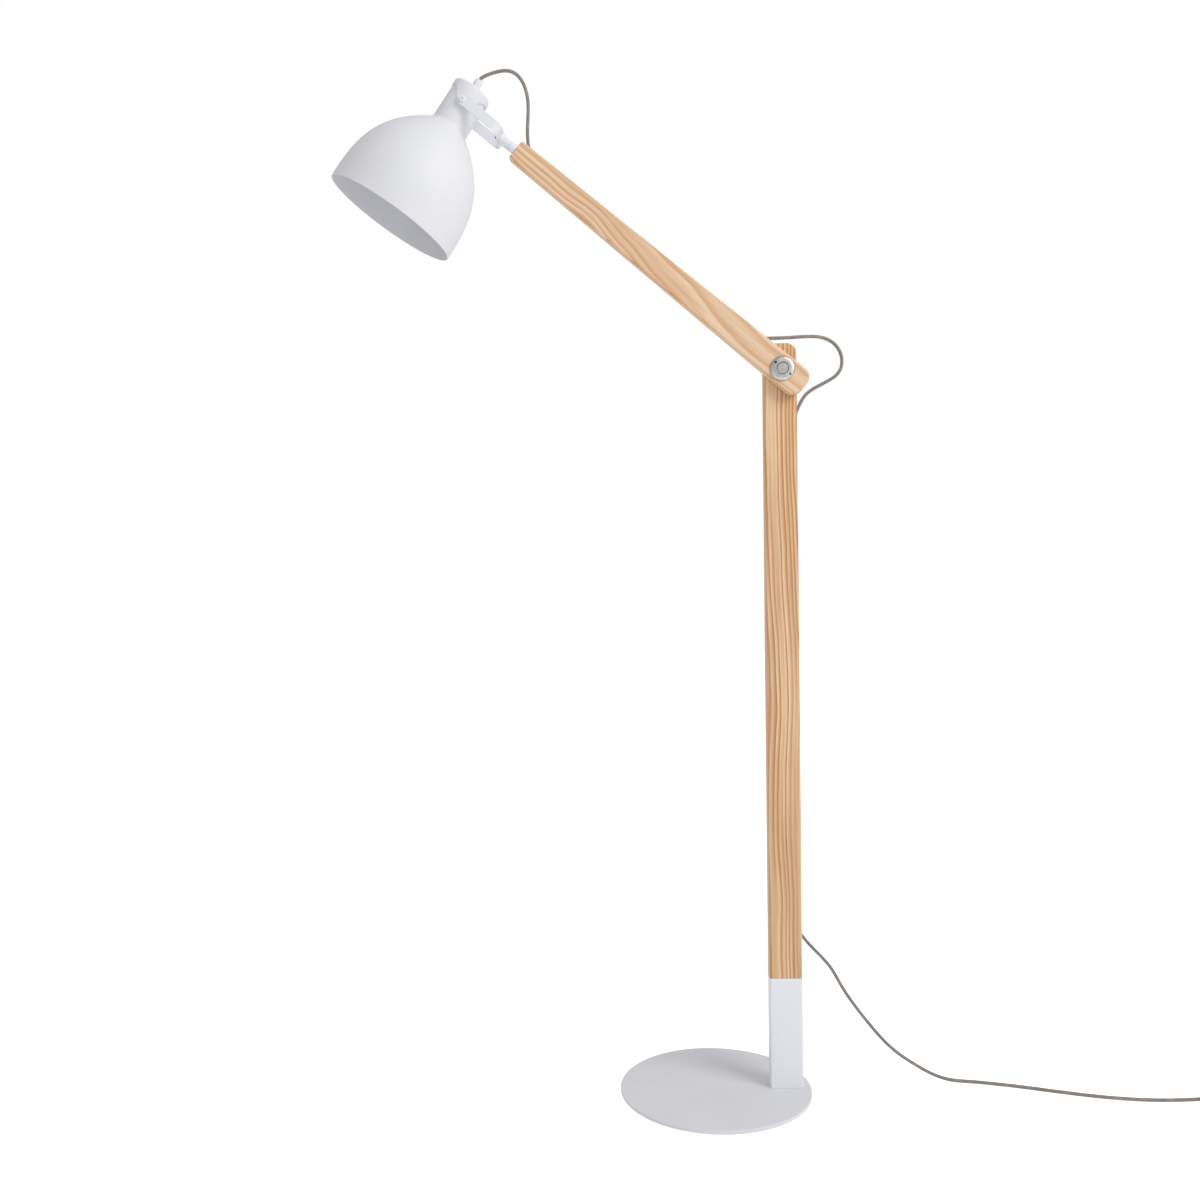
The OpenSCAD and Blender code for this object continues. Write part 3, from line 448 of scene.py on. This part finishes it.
def smoothPath(points, step=2.0 * mm):
    # A Catmull-Rom curve through the points, sampled evenly
    before = 2 * np.array(points[0]) - points[1]
    after = 2 * np.array(points[-1]) - points[-2]
    p = np.array([before, *points, after], float)
    fine = []
    for i in range(1, len(p) - 2):
        a, b, c, d = p[i - 1:i + 3]
        for t in np.linspace(0, 1, 12, endpoint=False):
            fine.append(0.5 * (2 * b + (c - a) * t + (2 * a - 5 * b + 4 * c - d) * t ** 2
                               + (3 * b - a - 3 * c + d) * t ** 3))
    fine = np.array([*fine, p[-2]])
    run = np.concatenate([[0], np.cumsum(np.linalg.norm(np.diff(fine, axis=0), axis=1))])
    stations = np.linspace(0, run[-1], max(2, round(run[-1] / step)) + 1)
    return np.stack([np.interp(stations, run, fine[:, axis]) for axis in range(3)], 1)


def tube(path, radius, sides=20):
    # A round tube whose rings never twist, with u along it and v round it
    path = np.asarray(path, float)
    tangents = np.gradient(path, axis=0)
    tangents /= np.linalg.norm(tangents, axis=1)[:, None]
    side = np.cross(tangents[0], (0.13, 0.97, 0.21))
    verts, runs, run = [], [], 0.0
    for i, (point, tangent) in enumerate(zip(path, tangents)):
        side = side - tangent * side.dot(tangent)
        side /= np.linalg.norm(side)
        other = np.cross(tangent, side)
        if i:
            run += np.linalg.norm(point - path[i - 1])
        runs.append(run)
        for k in range(sides):
            t = 2 * math.pi * k / sides
            verts.append(point + radius * (math.cos(t) * side + math.sin(t) * other))
    faces, uvs = [], []
    for i in range(len(path) - 1):
        for k in range(sides):
            n = (k + 1) % sides
            faces.append((i * sides + k, i * sides + n, (i + 1) * sides + n, (i + 1) * sides + k))
            uvs.append([(runs[i], k / sides), (runs[i], (k + 1) / sides),
                        (runs[i + 1], (k + 1) / sides), (runs[i + 1], k / sides)])
    last = (len(path) - 1) * sides
    for lid, end in ((range(sides - 1, -1, -1), 0), (range(last, last + sides), -1)):
        faces.append(lid)
        uvs.append([(runs[end], k / sides) for k in range(sides)])
    return verts, faces, uvs


# Cable routes are in millimetres from the middle of the base
cable = dict(diameter=5 * mm, leadLength=1.5)

headLoopRoute = [
    (-331.6, -20.05, 1483.8), (-329.8, -20.05, 1486.5), (-324.2, -19.9, 1490.2), (-315.4, -19.4, 1493.9),
    (-306.4, -18.7, 1496.8), (-297.1, -17.9, 1498.6), (-287.7, -16.9, 1498.3), (-279.3, -15.5, 1494.8),
    (-272.7, -14.1, 1488.2), (-267.9, -12.9, 1480.1), (-264.9, -11.8, 1471.2), (-263.0, -10.9, 1461.9),
    (-262.2, -10.4, 1452.4), (-262.2, -10.0, 1442.9), (-262.6, -9.8, 1433.4), (-263.1, -9.75, 1423.9),
    (-263.5, -9.75, 1414.5), (-263.4, -9.75, 1404.9), (-262.7, -9.75, 1395.5), (-261.1, -9.75, 1386.1),
    (-257.9, -9.75, 1376.7), (-253.5, -9.75, 1368.6), (-250.6, -9.75, 1363.9), (-247.9, -9.75, 1361.3)]
elbowLoopRoute = [
    (31.5, -9.75, 1126.8), (34.6, -9.75, 1124.3), (43.0, -9.75, 1116.6), (54.5, -9.75, 1110.4),
    (68.5, -9.5, 1107.2), (84.0, -8.5, 1106.6), (100.0, -7.0, 1107.1), (116.0, -5.0, 1108.1),
    (132.0, -3.0, 1109.4), (148.0, -0.5, 1110.6), (163.0, 2.0, 1110.4), (176.0, 4.5, 1107.4),
    (187.0, 7.0, 1101.0), (195.0, 9.0, 1091.0), (198.8, 10.5, 1079.0), (197.5, 11.5, 1066.0),
    (190.5, 12.4, 1055.5), (179.5, 13.0, 1048.0), (167.0, 13.55, 1041.6), (155.0, 13.55, 1035.0),
    (145.0, 13.55, 1027.0), (138.0, 13.55, 1016.5), (132.0, 13.55, 1004.0), (126.5, 13.55, 990.5),
    (121.4, 13.55, 976.5), (117.4, 13.55, 962.0), (116.0, 13.55, 951.0), (116.0, 13.55, 945.3)]
leadRoute = [
    (116, 13.55, 268), (116, 13.55, 263), (117.6, 13.6, 253), (121, 13.8, 243), (126.5, 14, 231),
    (134, 14.2, 220), (143, 14.5, 209), (153, 14.8, 198.5), (163.5, 15, 187.5), (173, 15.4, 176),
    (181, 15.8, 163.5), (188.5, 16.2, 150), (196.5, 16.6, 136.5), (205.5, 17, 123), (215, 17.5, 110),
    (225, 18, 97), (235, 18.5, 84.5), (245.5, 19, 72), (257, 19.5, 59.5), (270, 20, 47.5),
    (284.5, 20.4, 36.5), (300, 20.6, 26.5), (316, 20.6, 17), (332, 20.2, 9.4), (348, 19.2, 4.6),
    (364, 17.4, 2.8), (396, 11.2, 2.5), (444, -3, 2.5), (492, -20.2, 2.5), (540, -36.4, 2.5),
    (588, -47.6, 2.5), (636, -52.4, 2.5), (684, -50.6, 2.6)]
linkRoute = [
    (746.5, -102, 7.6), (746.5, -112, 8.5), (746.5, -118, 7.6), (746.5, -126, 5.4), (746.5, -143, 5),
    (746.5, -160, 5.4), (746.5, -168, 7.6), (746.5, -174, 8.5)]
tailRoute = [
    (746.5, -180, 7.8), (745, -188.5, 6.6), (740.8, -196.2, 5.6), (734.2, -202.2, 5.1),
    (726.2, -205.4, 5.2), (718.5, -206, 6), (712, -206, 6.8), (704, -206, 6.8), (699, -206, 6.8)]


def inMetres(route):
    return [tuple(c * mm for c in point) for point in route]


coil = dict(x=718, y=-79.5, turns=3.25, steps=20, inward=2, low=3.3, rise=5.1, riseRate=6,
            outerStart=33.6, outerPitch=5.1, innerStart=23.4, innerPitch=5.2)


def coilRoute():
    # Two flat turns inwards on the floor, then one and a quarter on top of them outwards
    c = coil
    points = []
    for i in range(1, round(c["turns"] * c["steps"])):
        t = i / c["steps"]
        lift = min(1, max(0, (t - c["inward"]) * c["riseRate"]))
        lift = lift * lift * (3 - 2 * lift)
        if t < c["inward"]:
            radius = c["outerStart"] - c["outerPitch"] * t
        else:
            radius = c["innerStart"] + c["innerPitch"] * (t - c["inward"])
        angle = math.pi / 2 - 2 * math.pi * t
        points.append((c["x"] + radius * math.cos(angle), c["y"] + radius * math.sin(angle),
                       c["low"] + c["rise"] * lift))
    return points


def makeCable(name, route, body, stands):
    path = smoothPath(inMetres(route))
    verts, faces, uvs = tube(path, cable["diameter"] / 2)
    return makePiece(name, verts, faces, body, "cable_cloth", stands=stands, uvs=uvs), path


coilEntry = [(706, -47.2, 3.1)]
leadPoints = leadRoute + coilEntry + coilRoute() + linkRoute + tailRoute
leadNodes = ("lead_run", "lead_coil", "lead_link", "lead_tail")
lead, leadPath = makeCable("mainsLead", leadPoints, "base", leadNodes)
leadMeasured = float(np.linalg.norm(np.diff(leadPath, axis=0), axis=1).sum())
print("mains lead", round(leadMeasured, 3))

meetAt = 16  # the point of the head loop where its two pieces meet
upper, upperPath = makeCable("headLoopUpper", headLoopRoute[:meetAt + 1], None, ("head_loop",))
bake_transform(upper)
lower, lowerPath = makeCable("headLoopLower", headLoopRoute[meetAt:], None, ())
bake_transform(lower)
loop, loopPath = makeCable("elbowLoop", elbowLoopRoute, None, ("elbow_loop",))
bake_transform(loop)
makeCable("armCable", [headLoopRoute[-1], elbowLoopRoute[0]], "arm", ("arm_cable",))
makeCable("postCable", [elbowLoopRoute[-1], leadRoute[0]], "base", ("post_cable",))
print("cables made")


plate = dict(box=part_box("base_plate"), edge=1.2 * mm)


def makeBase():
    low, high = plate["box"]
    radius, thick, edge = (high.x - low.x) / 2, high.z - low.z, plate["edge"]
    profile = [(0, 0), (radius * 0.5, 0)] + arc(radius - edge / 2, edge / 2, edge / 2, 270, 360, 4)
    profile += arc(radius - edge, thick - edge, edge, 0, 90, 8) + [(radius * 0.6, thick), (0, thick)]
    makePiece("basePlate", *lathe(profile, 256), "base", "base_paint", at(0, 0, low.z), ("base_plate",))


sleeveSizes = dict(box=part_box("sleeve"), corner=2 * mm, wall=1.5 * mm, lip=0.5 * mm)


def makeSleeve():
    low, high = sleeveSizes["box"]
    wide, thick, tall = high.x - low.x, high.y - low.y, high.z - low.z
    wall, lip = sleeveSizes["wall"], sleeveSizes["lip"]

    def outline(inset):
        corner = max(0.3 * mm, sleeveSizes["corner"] - inset)
        return roundedBox(wide - 2 * inset, thick - 2 * inset, corner)

    layers = [(0.3 * mm, 0), (0, 0.3 * mm), (0, tall - lip)]
    for a in (0.4, 0.8, 1.2, math.pi / 2):
        layers.append((lip - lip * math.cos(a), tall - lip + lip * math.sin(a)))
    layers += [(wall - 0.2 * mm, tall), (wall, tall - 0.2 * mm), (wall, tall - 6 * mm)]
    makePiece("sleeve", *board(outline, layers, inXY), "base", "sleeve_paint",
              at(postX, 0, low.z), ("sleeve",))


postSizes = dict(box=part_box("post"), corner=15 * mm, edge=2.2 * mm, gap=0.3 * mm)


def makePost():
    low, high = postSizes["box"]
    half, thick, corner = (high.x - low.x) / 2, high.y - low.y, postSizes["corner"]
    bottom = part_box("sleeve")[1].z + postSizes["gap"]

    def outline(inset):
        w, r = half - inset, corner - inset
        top = high.z - inset
        return ([(-w, bottom), (w, bottom)] + arc(w - r, top - r, r, 0, 90, 14)
                + arc(r - w, top - r, r, 90, 180, 14))

    makePiece("post", *board(outline, roundLayers(thick, postSizes["edge"]), inXZ), "base", "post_pine",
              at(postX, 0, 0), ("post",))


makeBase()
makeSleeve()
makePost()
print("base and post made")


armSizes = dict(wide=43.2 * mm, tip=31.4 * mm, reach=502 * mm, tail=42 * mm, tailCorner=17 * mm,
                tipCorner=4 * mm, edge=2.6 * mm, thick=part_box("arm")[1].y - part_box("arm")[0].y)


def makeArm():
    s = armSizes
    slope = (s["wide"] - s["tip"]) / 2 / s["reach"]

    def outline(inset):
        endHalf = s["wide"] / 2 + slope * s["tail"] - inset
        tipHalf = s["tip"] / 2 - inset
        endR, tipR = s["tailCorner"] - inset, s["tipCorner"] - inset
        x1, x0 = s["tail"] - inset, inset - s["reach"]
        return (arc(x1 - endR, endR - endHalf, endR, -90, 0, 14)
                + arc(x1 - endR, endHalf - endR, endR, 0, 90, 14)
                + arc(x0 + tipR, tipHalf - tipR, tipR, 90, 180, 6)
                + arc(x0 + tipR, tipR - tipHalf, tipR, 180, 270, 6))

    makePiece("arm", *board(outline, roundLayers(s["thick"], s["edge"]), inXZ), "arm", "arm_pine",
              onArm, ("arm",))


disc = dict(radius=18 * mm, rise=4.2 * mm, edge=2 * mm, seat=8.9 * mm, recess=2 * mm, bore=4.1 * mm,
            holes=13.6 * mm, holeRadius=2.1 * mm, pin=1.2 * mm)


def makeDisc():
    d = disc
    dome = [(d["radius"] - 0.5 * mm - (d["radius"] - d["seat"] - 0.8 * mm) * (1 - math.cos(a)),
             d["edge"] + (d["rise"] - d["edge"]) * math.sin(a)) for a in np.linspace(0, math.pi / 2, 12)]
    profile = [(d["bore"], 0), (d["radius"], 0), (d["radius"], d["edge"] - 0.6 * mm), *dome,
               (d["seat"] + 0.2 * mm, d["rise"]), (d["seat"], d["rise"] - 0.3 * mm),
               (d["seat"], d["rise"] - d["recess"]), (d["bore"], d["rise"] - d["recess"])]
    place = onArm @ at(0, -armSizes["thick"] / 2, 0) @ towardsFront
    face = makePiece("faceDisc", *lathe(profile, 96, closed=True), None, "satin_nickel", place,
                     ("face_disc",))
    drills = []
    for side in (-1, 1):
        hole = lathe([(0, d["rise"] - 2.6 * mm), (d["holeRadius"], d["rise"] - 2.2 * mm),
                      (d["holeRadius"], d["rise"] + 2 * mm), (0, d["rise"] + 2 * mm)], 24)
        drill = makePiece(f"drill{side}", *hole, None, "satin_nickel", place @ at(side * d["holes"], 0, 0))
        cut = face.modifiers.new("hole", "BOOLEAN")
        cut.object, cut.operation, cut.solver = drill, "DIFFERENCE", "EXACT"
        drills.append(drill)
    face.modifiers.remove(face.modifiers["evenNormals"])
    graph = bpy.context.evaluated_depsgraph_get()
    face.data = bpy.data.meshes.new_from_object(face.evaluated_get(graph))
    face.modifiers.clear()
    face.data.set_sharp_from_angle(angle=creaseAngle)
    for drill in drills:
        bpy.data.objects.remove(drill)
    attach(face, "arm")
    # A thin black ring at the bottom of the recess round the bolt is painted shade in the gap round the bolt head
    inner, outer, thick = 8.1 * mm, d["seat"] - 0.05 * mm, 0.5 * mm
    shadowRing = [(inner, 0), (outer, 0), (outer, thick), (inner, thick)]
    makePiece("boltShadowRing", *lathe(shadowRing, 64, closed=True), "arm", "black_steel",
              place @ at(0, 0, d["rise"] - d["recess"] + 0.02 * mm))
    # In one hole a black pin at the bottom is painted shade of the deep hole; in the other a nickel pin stands in
    # the hole
    for side, slot in ((-1, "black_steel"), (1, "satin_nickel")):
        pin = [(0, 0), (d["pin"], 0), (d["pin"], 1.3 * mm), (d["pin"] - 0.3 * mm, 1.6 * mm), (0, 1.6 * mm)]
        makePiece(f"pinAndHoleShade{side + 2}", *lathe(pin, 24), "arm", slot,
                  place @ at(side * d["holes"], 0, d["rise"] - 2.6 * mm))


knob = dict(radius=14.4 * mm, lobe=2.5 * mm, hub=10 * mm, edge=2.2 * mm)


def makeKnob():
    low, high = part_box("clamp_knob")
    thick = 12 * mm

    def outline(inset):
        turns = [2 * math.pi * k / 120 for k in range(120)]
        radii = [knob["radius"] + knob["lobe"] * math.cos(5 * t) - inset for t in turns]
        return [(r * math.sin(t), r * math.cos(t)) for r, t in zip(radii, turns)][::-1]

    middle = high.y - thick / 2
    lobes = board(outline, roundLayers(thick, knob["edge"]), inXZ)
    makePiece("knobLobes", *lobes, "knob", "black_plastic", at(elbow.x, middle, elbow.z), ("clamp_knob",))
    hub = [(4.05 * mm, 0), (knob["hub"], 0), (knob["hub"], 3.6 * mm), (knob["hub"] + 1 * mm, 5 * mm),
           (4.05 * mm, 5 * mm)]
    makePiece("knobHub", *lathe(hub, 64, closed=True), "knob", "black_plastic",
              at(elbow.x, low.y, elbow.z) @ towardsBack)


makeArm()
makeDisc()
makeKnob()
print("arm made")


yoke = dict(half=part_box("yoke")[1].y - elbow.y, strap=15 * mm, thick=2 * mm, bend=12 * mm, reach=68 * mm,
            edge=0.55 * mm)


def makeYoke():
    # The strap's section follows a U, and narrows to a half circle at each end
    y = yoke
    middle, radius = y["half"] - y["thick"] / 2, y["bend"] - y["thick"] / 2
    base = y["reach"] - y["thick"] / 2
    halfWide = y["strap"] / 2
    ends = [halfWide * (1 - math.cos(a)) for a in np.linspace(0.22, math.pi / 2, 10)]
    side = [(d - halfWide, middle) for d in ends] + [(10 * mm, middle), (30 * mm, middle)]
    side += arc(base - radius, middle - radius, radius, 90, 0, 14)
    path = side + [(base, 0)] + [(px, -py) for px, py in reversed(side)]
    widths = [math.sqrt(max(0, halfWide ** 2 - min(0, px) ** 2)) for px, py in path]
    verts, faces = [], []
    tangents = np.gradient(np.array(path), axis=0)
    for (px, py), (tx, ty), w in zip(path, tangents, widths):
        size = math.hypot(tx, ty)
        nx, ny = -ty / size, tx / size
        for across, up in roundedBox(y["thick"], 2 * w, min(y["edge"], 0.4 * w), 4):
            verts.append((px + nx * across, py + ny * across, up))
    count = len(verts) // len(path)
    for i in range(len(path) - 1):
        for k in range(count):
            n = (k + 1) % count
            faces.append((i * count + n, i * count + k, (i + 1) * count + k, (i + 1) * count + n))
    faces.append(range(count))
    faces.append(range(len(verts) - 1, len(verts) - count - 1, -1))
    makePiece("yoke", verts, faces, "yoke", "yoke_paint", onYoke, ("yoke",))


stem = dict(radius=7 * mm, length=17.2 * mm, flange=7.7 * mm, collar=10 * mm, collarRadius=6.7 * mm)


def makeStem():
    s = stem
    bore = 3.05 * mm
    profile = [(bore, 0), (s["flange"] - 0.3 * mm, 0), (s["flange"], 0.3 * mm), (s["flange"], 1.6 * mm)]
    profile += arc(s["radius"] + 0.7 * mm, 2.3 * mm, 0.7 * mm, 270, 180, 4)
    profile += [(s["radius"], s["length"] - 0.6 * mm), (s["radius"] - 0.6 * mm, s["length"]),
                (bore, s["length"])]
    makePiece("swivelStem", *lathe(profile, 64, closed=True), "yoke", "yoke_paint",
              onYoke @ at(yoke["reach"], 0, 0) @ alongX, ("swivel_stem",))
    r = s["collarRadius"]
    profile = [(bore, 0), (r - 0.4 * mm, 0), (r, 0.4 * mm), (r, 2 * mm), (r - 0.35 * mm, 2.3 * mm),
               (r - 0.35 * mm, 2.9 * mm), (r, 3.2 * mm), (r, s["collar"] - 0.5 * mm),
               (r - 0.3 * mm, s["collar"] - 0.1 * mm), (bore, s["collar"] - 0.1 * mm)]
    makePiece("swivelCollar", *lathe(profile, 64, closed=True), "arm", "yoke_paint",
              onArm @ at(-armSizes["reach"] - s["collar"], 0, 0) @ alongX, ("swivel_bush",))


makeYoke()
makeStem()


shade = dict(radius=98.5 * mm, rim=192.8 * mm, curve=171.3 * mm, sidePower=1.1, topPower=2.95,
             neck=27.6 * mm, wall=1.2 * mm, fillet=5 * mm, neckTop=24 * mm)


def bellSide(inset):
    # From the rim up to the top of the neck, held in by inset
    s = shade
    r0, r1 = s["radius"] - inset, s["neck"] - inset + s["fillet"]

    def height(r):
        return -s["rim"] + (s["curve"] - inset) * (1 - (r / r0) ** s["sidePower"]) ** (1 / s["topPower"])

    swing = [r1 + (r0 - r1) * (1 - (1 - math.cos(a)) ** 1.35) for a in np.linspace(0, math.pi / 2, 60)]
    side = [(r, height(r)) for r in swing]
    f, z1 = s["fillet"], height(r1)
    turn = [(r1 - f * math.sin(a), z1 + f * 0.55 * math.sin(a) + f * (1 - math.cos(a)))
            for a in np.linspace(0.15, math.pi / 2, 10)]
    return side + turn + [(s["neck"] - inset, 0), (s["neck"] - inset, s["neckTop"])]


def makeShade():
    outer, inner = bellSide(0), bellSide(shade["wall"])
    rim = arc(shade["radius"] - shade["wall"] / 2, -shade["rim"], shade["wall"] / 2, 180, 360, 8)
    profile = inner[::-1] + rim[1:-1] + outer
    makePiece("shade", *lathe(profile, 256, closed=True), "head", "shade_paint", onHead, ("shade",))


cap = dict(radius=28.9 * mm, wall=1.2 * mm, top=29 * mm, corner=5 * mm, skirt=17 * mm, ear=8.5 * mm,
           spread=22.1 * mm, hole=5.1 * mm, edge=0.35 * mm, boss=6.8 * mm, bossFace=30 * mm)


def skirtEdge(x):
    # Height of the cap's lower edge: level, but sloping down to a round ear on each side
    d, r = abs(x - tiltOff), cap["ear"]
    far = math.hypot(cap["spread"], cap["skirt"])
    lean = math.atan2(cap["skirt"], cap["spread"]) - math.acos(r / far)
    touch = r * math.cos(lean)
    if d < touch:
        return -math.sqrt(r ** 2 - d ** 2)
    share = min(1, (d - touch) / (cap["spread"] - touch))
    return r * math.sin(lean) * (1 - share) + cap["skirt"] * share


def makeCap():
    c = cap
    sides, verts, faces = 240, [], []
    hole, edge = c["hole"], c["edge"]
    bendX, bendZ = c["radius"] - c["corner"], c["top"] - c["corner"]
    top = arc(bendX, bendZ, c["corner"], 0, 90, 8)
    topIn = [(top[0][0] - c["wall"], top[0][1])] + arc(bendX, bendZ, c["corner"] - c["wall"], 0, 90, 6)
    for k in range(sides):
        t = 2 * math.pi * k / sides
        low = skirtEdge(c["radius"] * math.cos(t))
        column = [(c["radius"] - edge, low), (c["radius"], low + edge), (c["radius"], low + 1.5 * mm)]
        column += [(c["radius"], low + (c["top"] - c["corner"] - low) * f) for f in (0.35, 0.7)]
        column += top + [(c["radius"] * 0.4, c["top"]), (hole, c["top"]), (hole, c["top"] - c["wall"])]
        column += topIn[::-1]
        column += [(c["radius"] - c["wall"], low + edge), (c["radius"] - c["wall"] + edge, low)]
        rows = len(column)
        verts += [(r * math.cos(t), r * math.sin(t), z) for r, z in column]
    for k in range(sides):
        n = (k + 1) % sides
        for i in range(rows):
            j = (i + 1) % rows
            faces.append((k * rows + i, n * rows + i, n * rows + j, k * rows + j))
    makePiece("cap", verts, faces, "head", "shade_paint", onHead, ("socket_cap",))
    boss = [(2.1 * mm, 27 * mm), (c["boss"], 27 * mm), (c["boss"], c["bossFace"] - 0.5 * mm),
            (c["boss"] - 0.5 * mm, c["bossFace"]), (2.1 * mm, c["bossFace"])]
    for name, turn in (("bossFront", towardsFront), ("bossBack", towardsBack)):
        makePiece(name, *lathe(boss, 64, closed=True), "head", "shade_paint", onTilt @ turn)


grip = dict(radius=6 * mm, length=17.5 * mm, bore=2.6 * mm)


def makeGrip():
    g = grip
    r, tall = g["radius"], g["length"]
    profile = [(g["bore"], 0), (r, 0), (r, 6.5 * mm), (r - 0.4 * mm, 6.9 * mm), (r - 0.4 * mm, 7.5 * mm),
               (r, 7.9 * mm), (r, tall - 1.6 * mm)]
    profile += arc(r - 1.4 * mm, tall - 1.4 * mm, 1.4 * mm, 0, 90, 6) + [(g["bore"], tall - 0.2 * mm)]
    makePiece("cordGrip", *lathe(profile, 64, closed=True), "head", "white_plastic",
              onHead @ at(0, 0, cap["top"] + 0.05 * mm), ("cord_grip",))


bulb = dict(radius=30 * mm, throat=14 * mm, neck=-39.4 * mm, tip=-120.4 * mm)


def makeBulb():
    b = bulb
    middle = b["tip"] + b["radius"]
    profile = arc(0, middle, b["radius"], -90, 20, 28)
    start = profile[-1]
    for i in range(1, 15):
        u = i / 14
        swell = 0.5 + 0.5 * math.cos(math.pi * u)
        profile.append((b["throat"] + (start[0] - b["throat"]) * swell,
                        start[1] + (b["neck"] - start[1]) * u))
    makePiece("bulb", *lathe(profile + [(0, b["neck"])], 96), "head", "opal_glass", onHead, ("bulb_glass",))


makeShade()
makeCap()
makeGrip()
makeBulb()
print("head made")


# Strengths of the sky above and below, of the dome and of the floor
stage = dict(upper=0.6, lower=0.85, paper=1.0, floorGlow=0.62, floorSize=14)


def makeStaged(name, verts, faces, roughness, glow):
    mesh = bpy.data.meshes.new(name)
    mesh.from_pydata(verts, [], faces)
    mesh.polygons.foreach_set("use_smooth", [True] * len(mesh.polygons))
    piece = bpy.data.objects.new(name, mesh)
    bpy.context.scene.collection.objects.link(piece)
    g = Graph(name + "Paper")
    fleck = g.noise(g.place(), 700, 2)
    tone = g.mix(fleck, (0.93, 0.93, 0.93), (0.96, 0.96, 0.96))
    g.surface(color=tone if glow < 1 else (0, 0, 0), roughness=roughness, specular=0.1)
    g.feed(g.shader.inputs["Emission Color"], (1, 1, 1))
    g.feed(g.shader.inputs["Emission Strength"], glow)
    mesh.materials.append(g.owner)
    return piece


def makeStudio():
    # A pale floor, and a white dome round it that shows but gives no light
    size = stage["floorSize"]
    count = 64
    turns = [2 * math.pi * k / count for k in range(count)]
    ring = [(size * math.cos(t), size * math.sin(t), 0) for t in turns]
    floor = makeStaged("floor", ring, [range(count)], 0.85, stage["floorGlow"])
    floor.visible_diffuse = False
    out = size * 1.02
    rise = [(out * math.cos(a), out * math.sin(a)) for a in np.linspace(-0.1, math.pi / 2, 24)]
    dome = makeStaged("dome", *lathe(rise[:-1] + [(0, rise[-1][1])], count), 1.0, stage["paper"])
    dome.visible_diffuse = dome.visible_glossy = dome.visible_shadow = dome.visible_transmission = False


def makeLight(name, place, aim, size, power):
    data = bpy.data.lights.new(name, "AREA")
    data.shape, data.size, data.energy = "DISK", size, power
    light = bpy.data.objects.new(name, data)
    light.location = place
    light.rotation_euler = (Vector(aim) - Vector(place)).to_track_quat("-Z", "Y").to_euler()
    bpy.context.scene.collection.objects.link(light)


def makeSky():
    # Soft light from all round, weaker from below
    g = Graph("sky", world=True)
    bpy.context.scene.world = g.owner
    up = g.split(g.place("Generated"))[2]
    g.feed(g.shader.inputs["Color"], (0.985, 0.985, 1))
    g.feed(g.shader.inputs["Strength"], up.ramp(-0.25, 0.3, stage["lower"], stage["upper"]))


makeStudio()
makeSky()
makeLight("key", (2.1, -1.75, 2.6), (-0.05, 0, 0.8), size=1.8, power=54)
bpy.context.scene.view_settings.view_transform = "Standard"
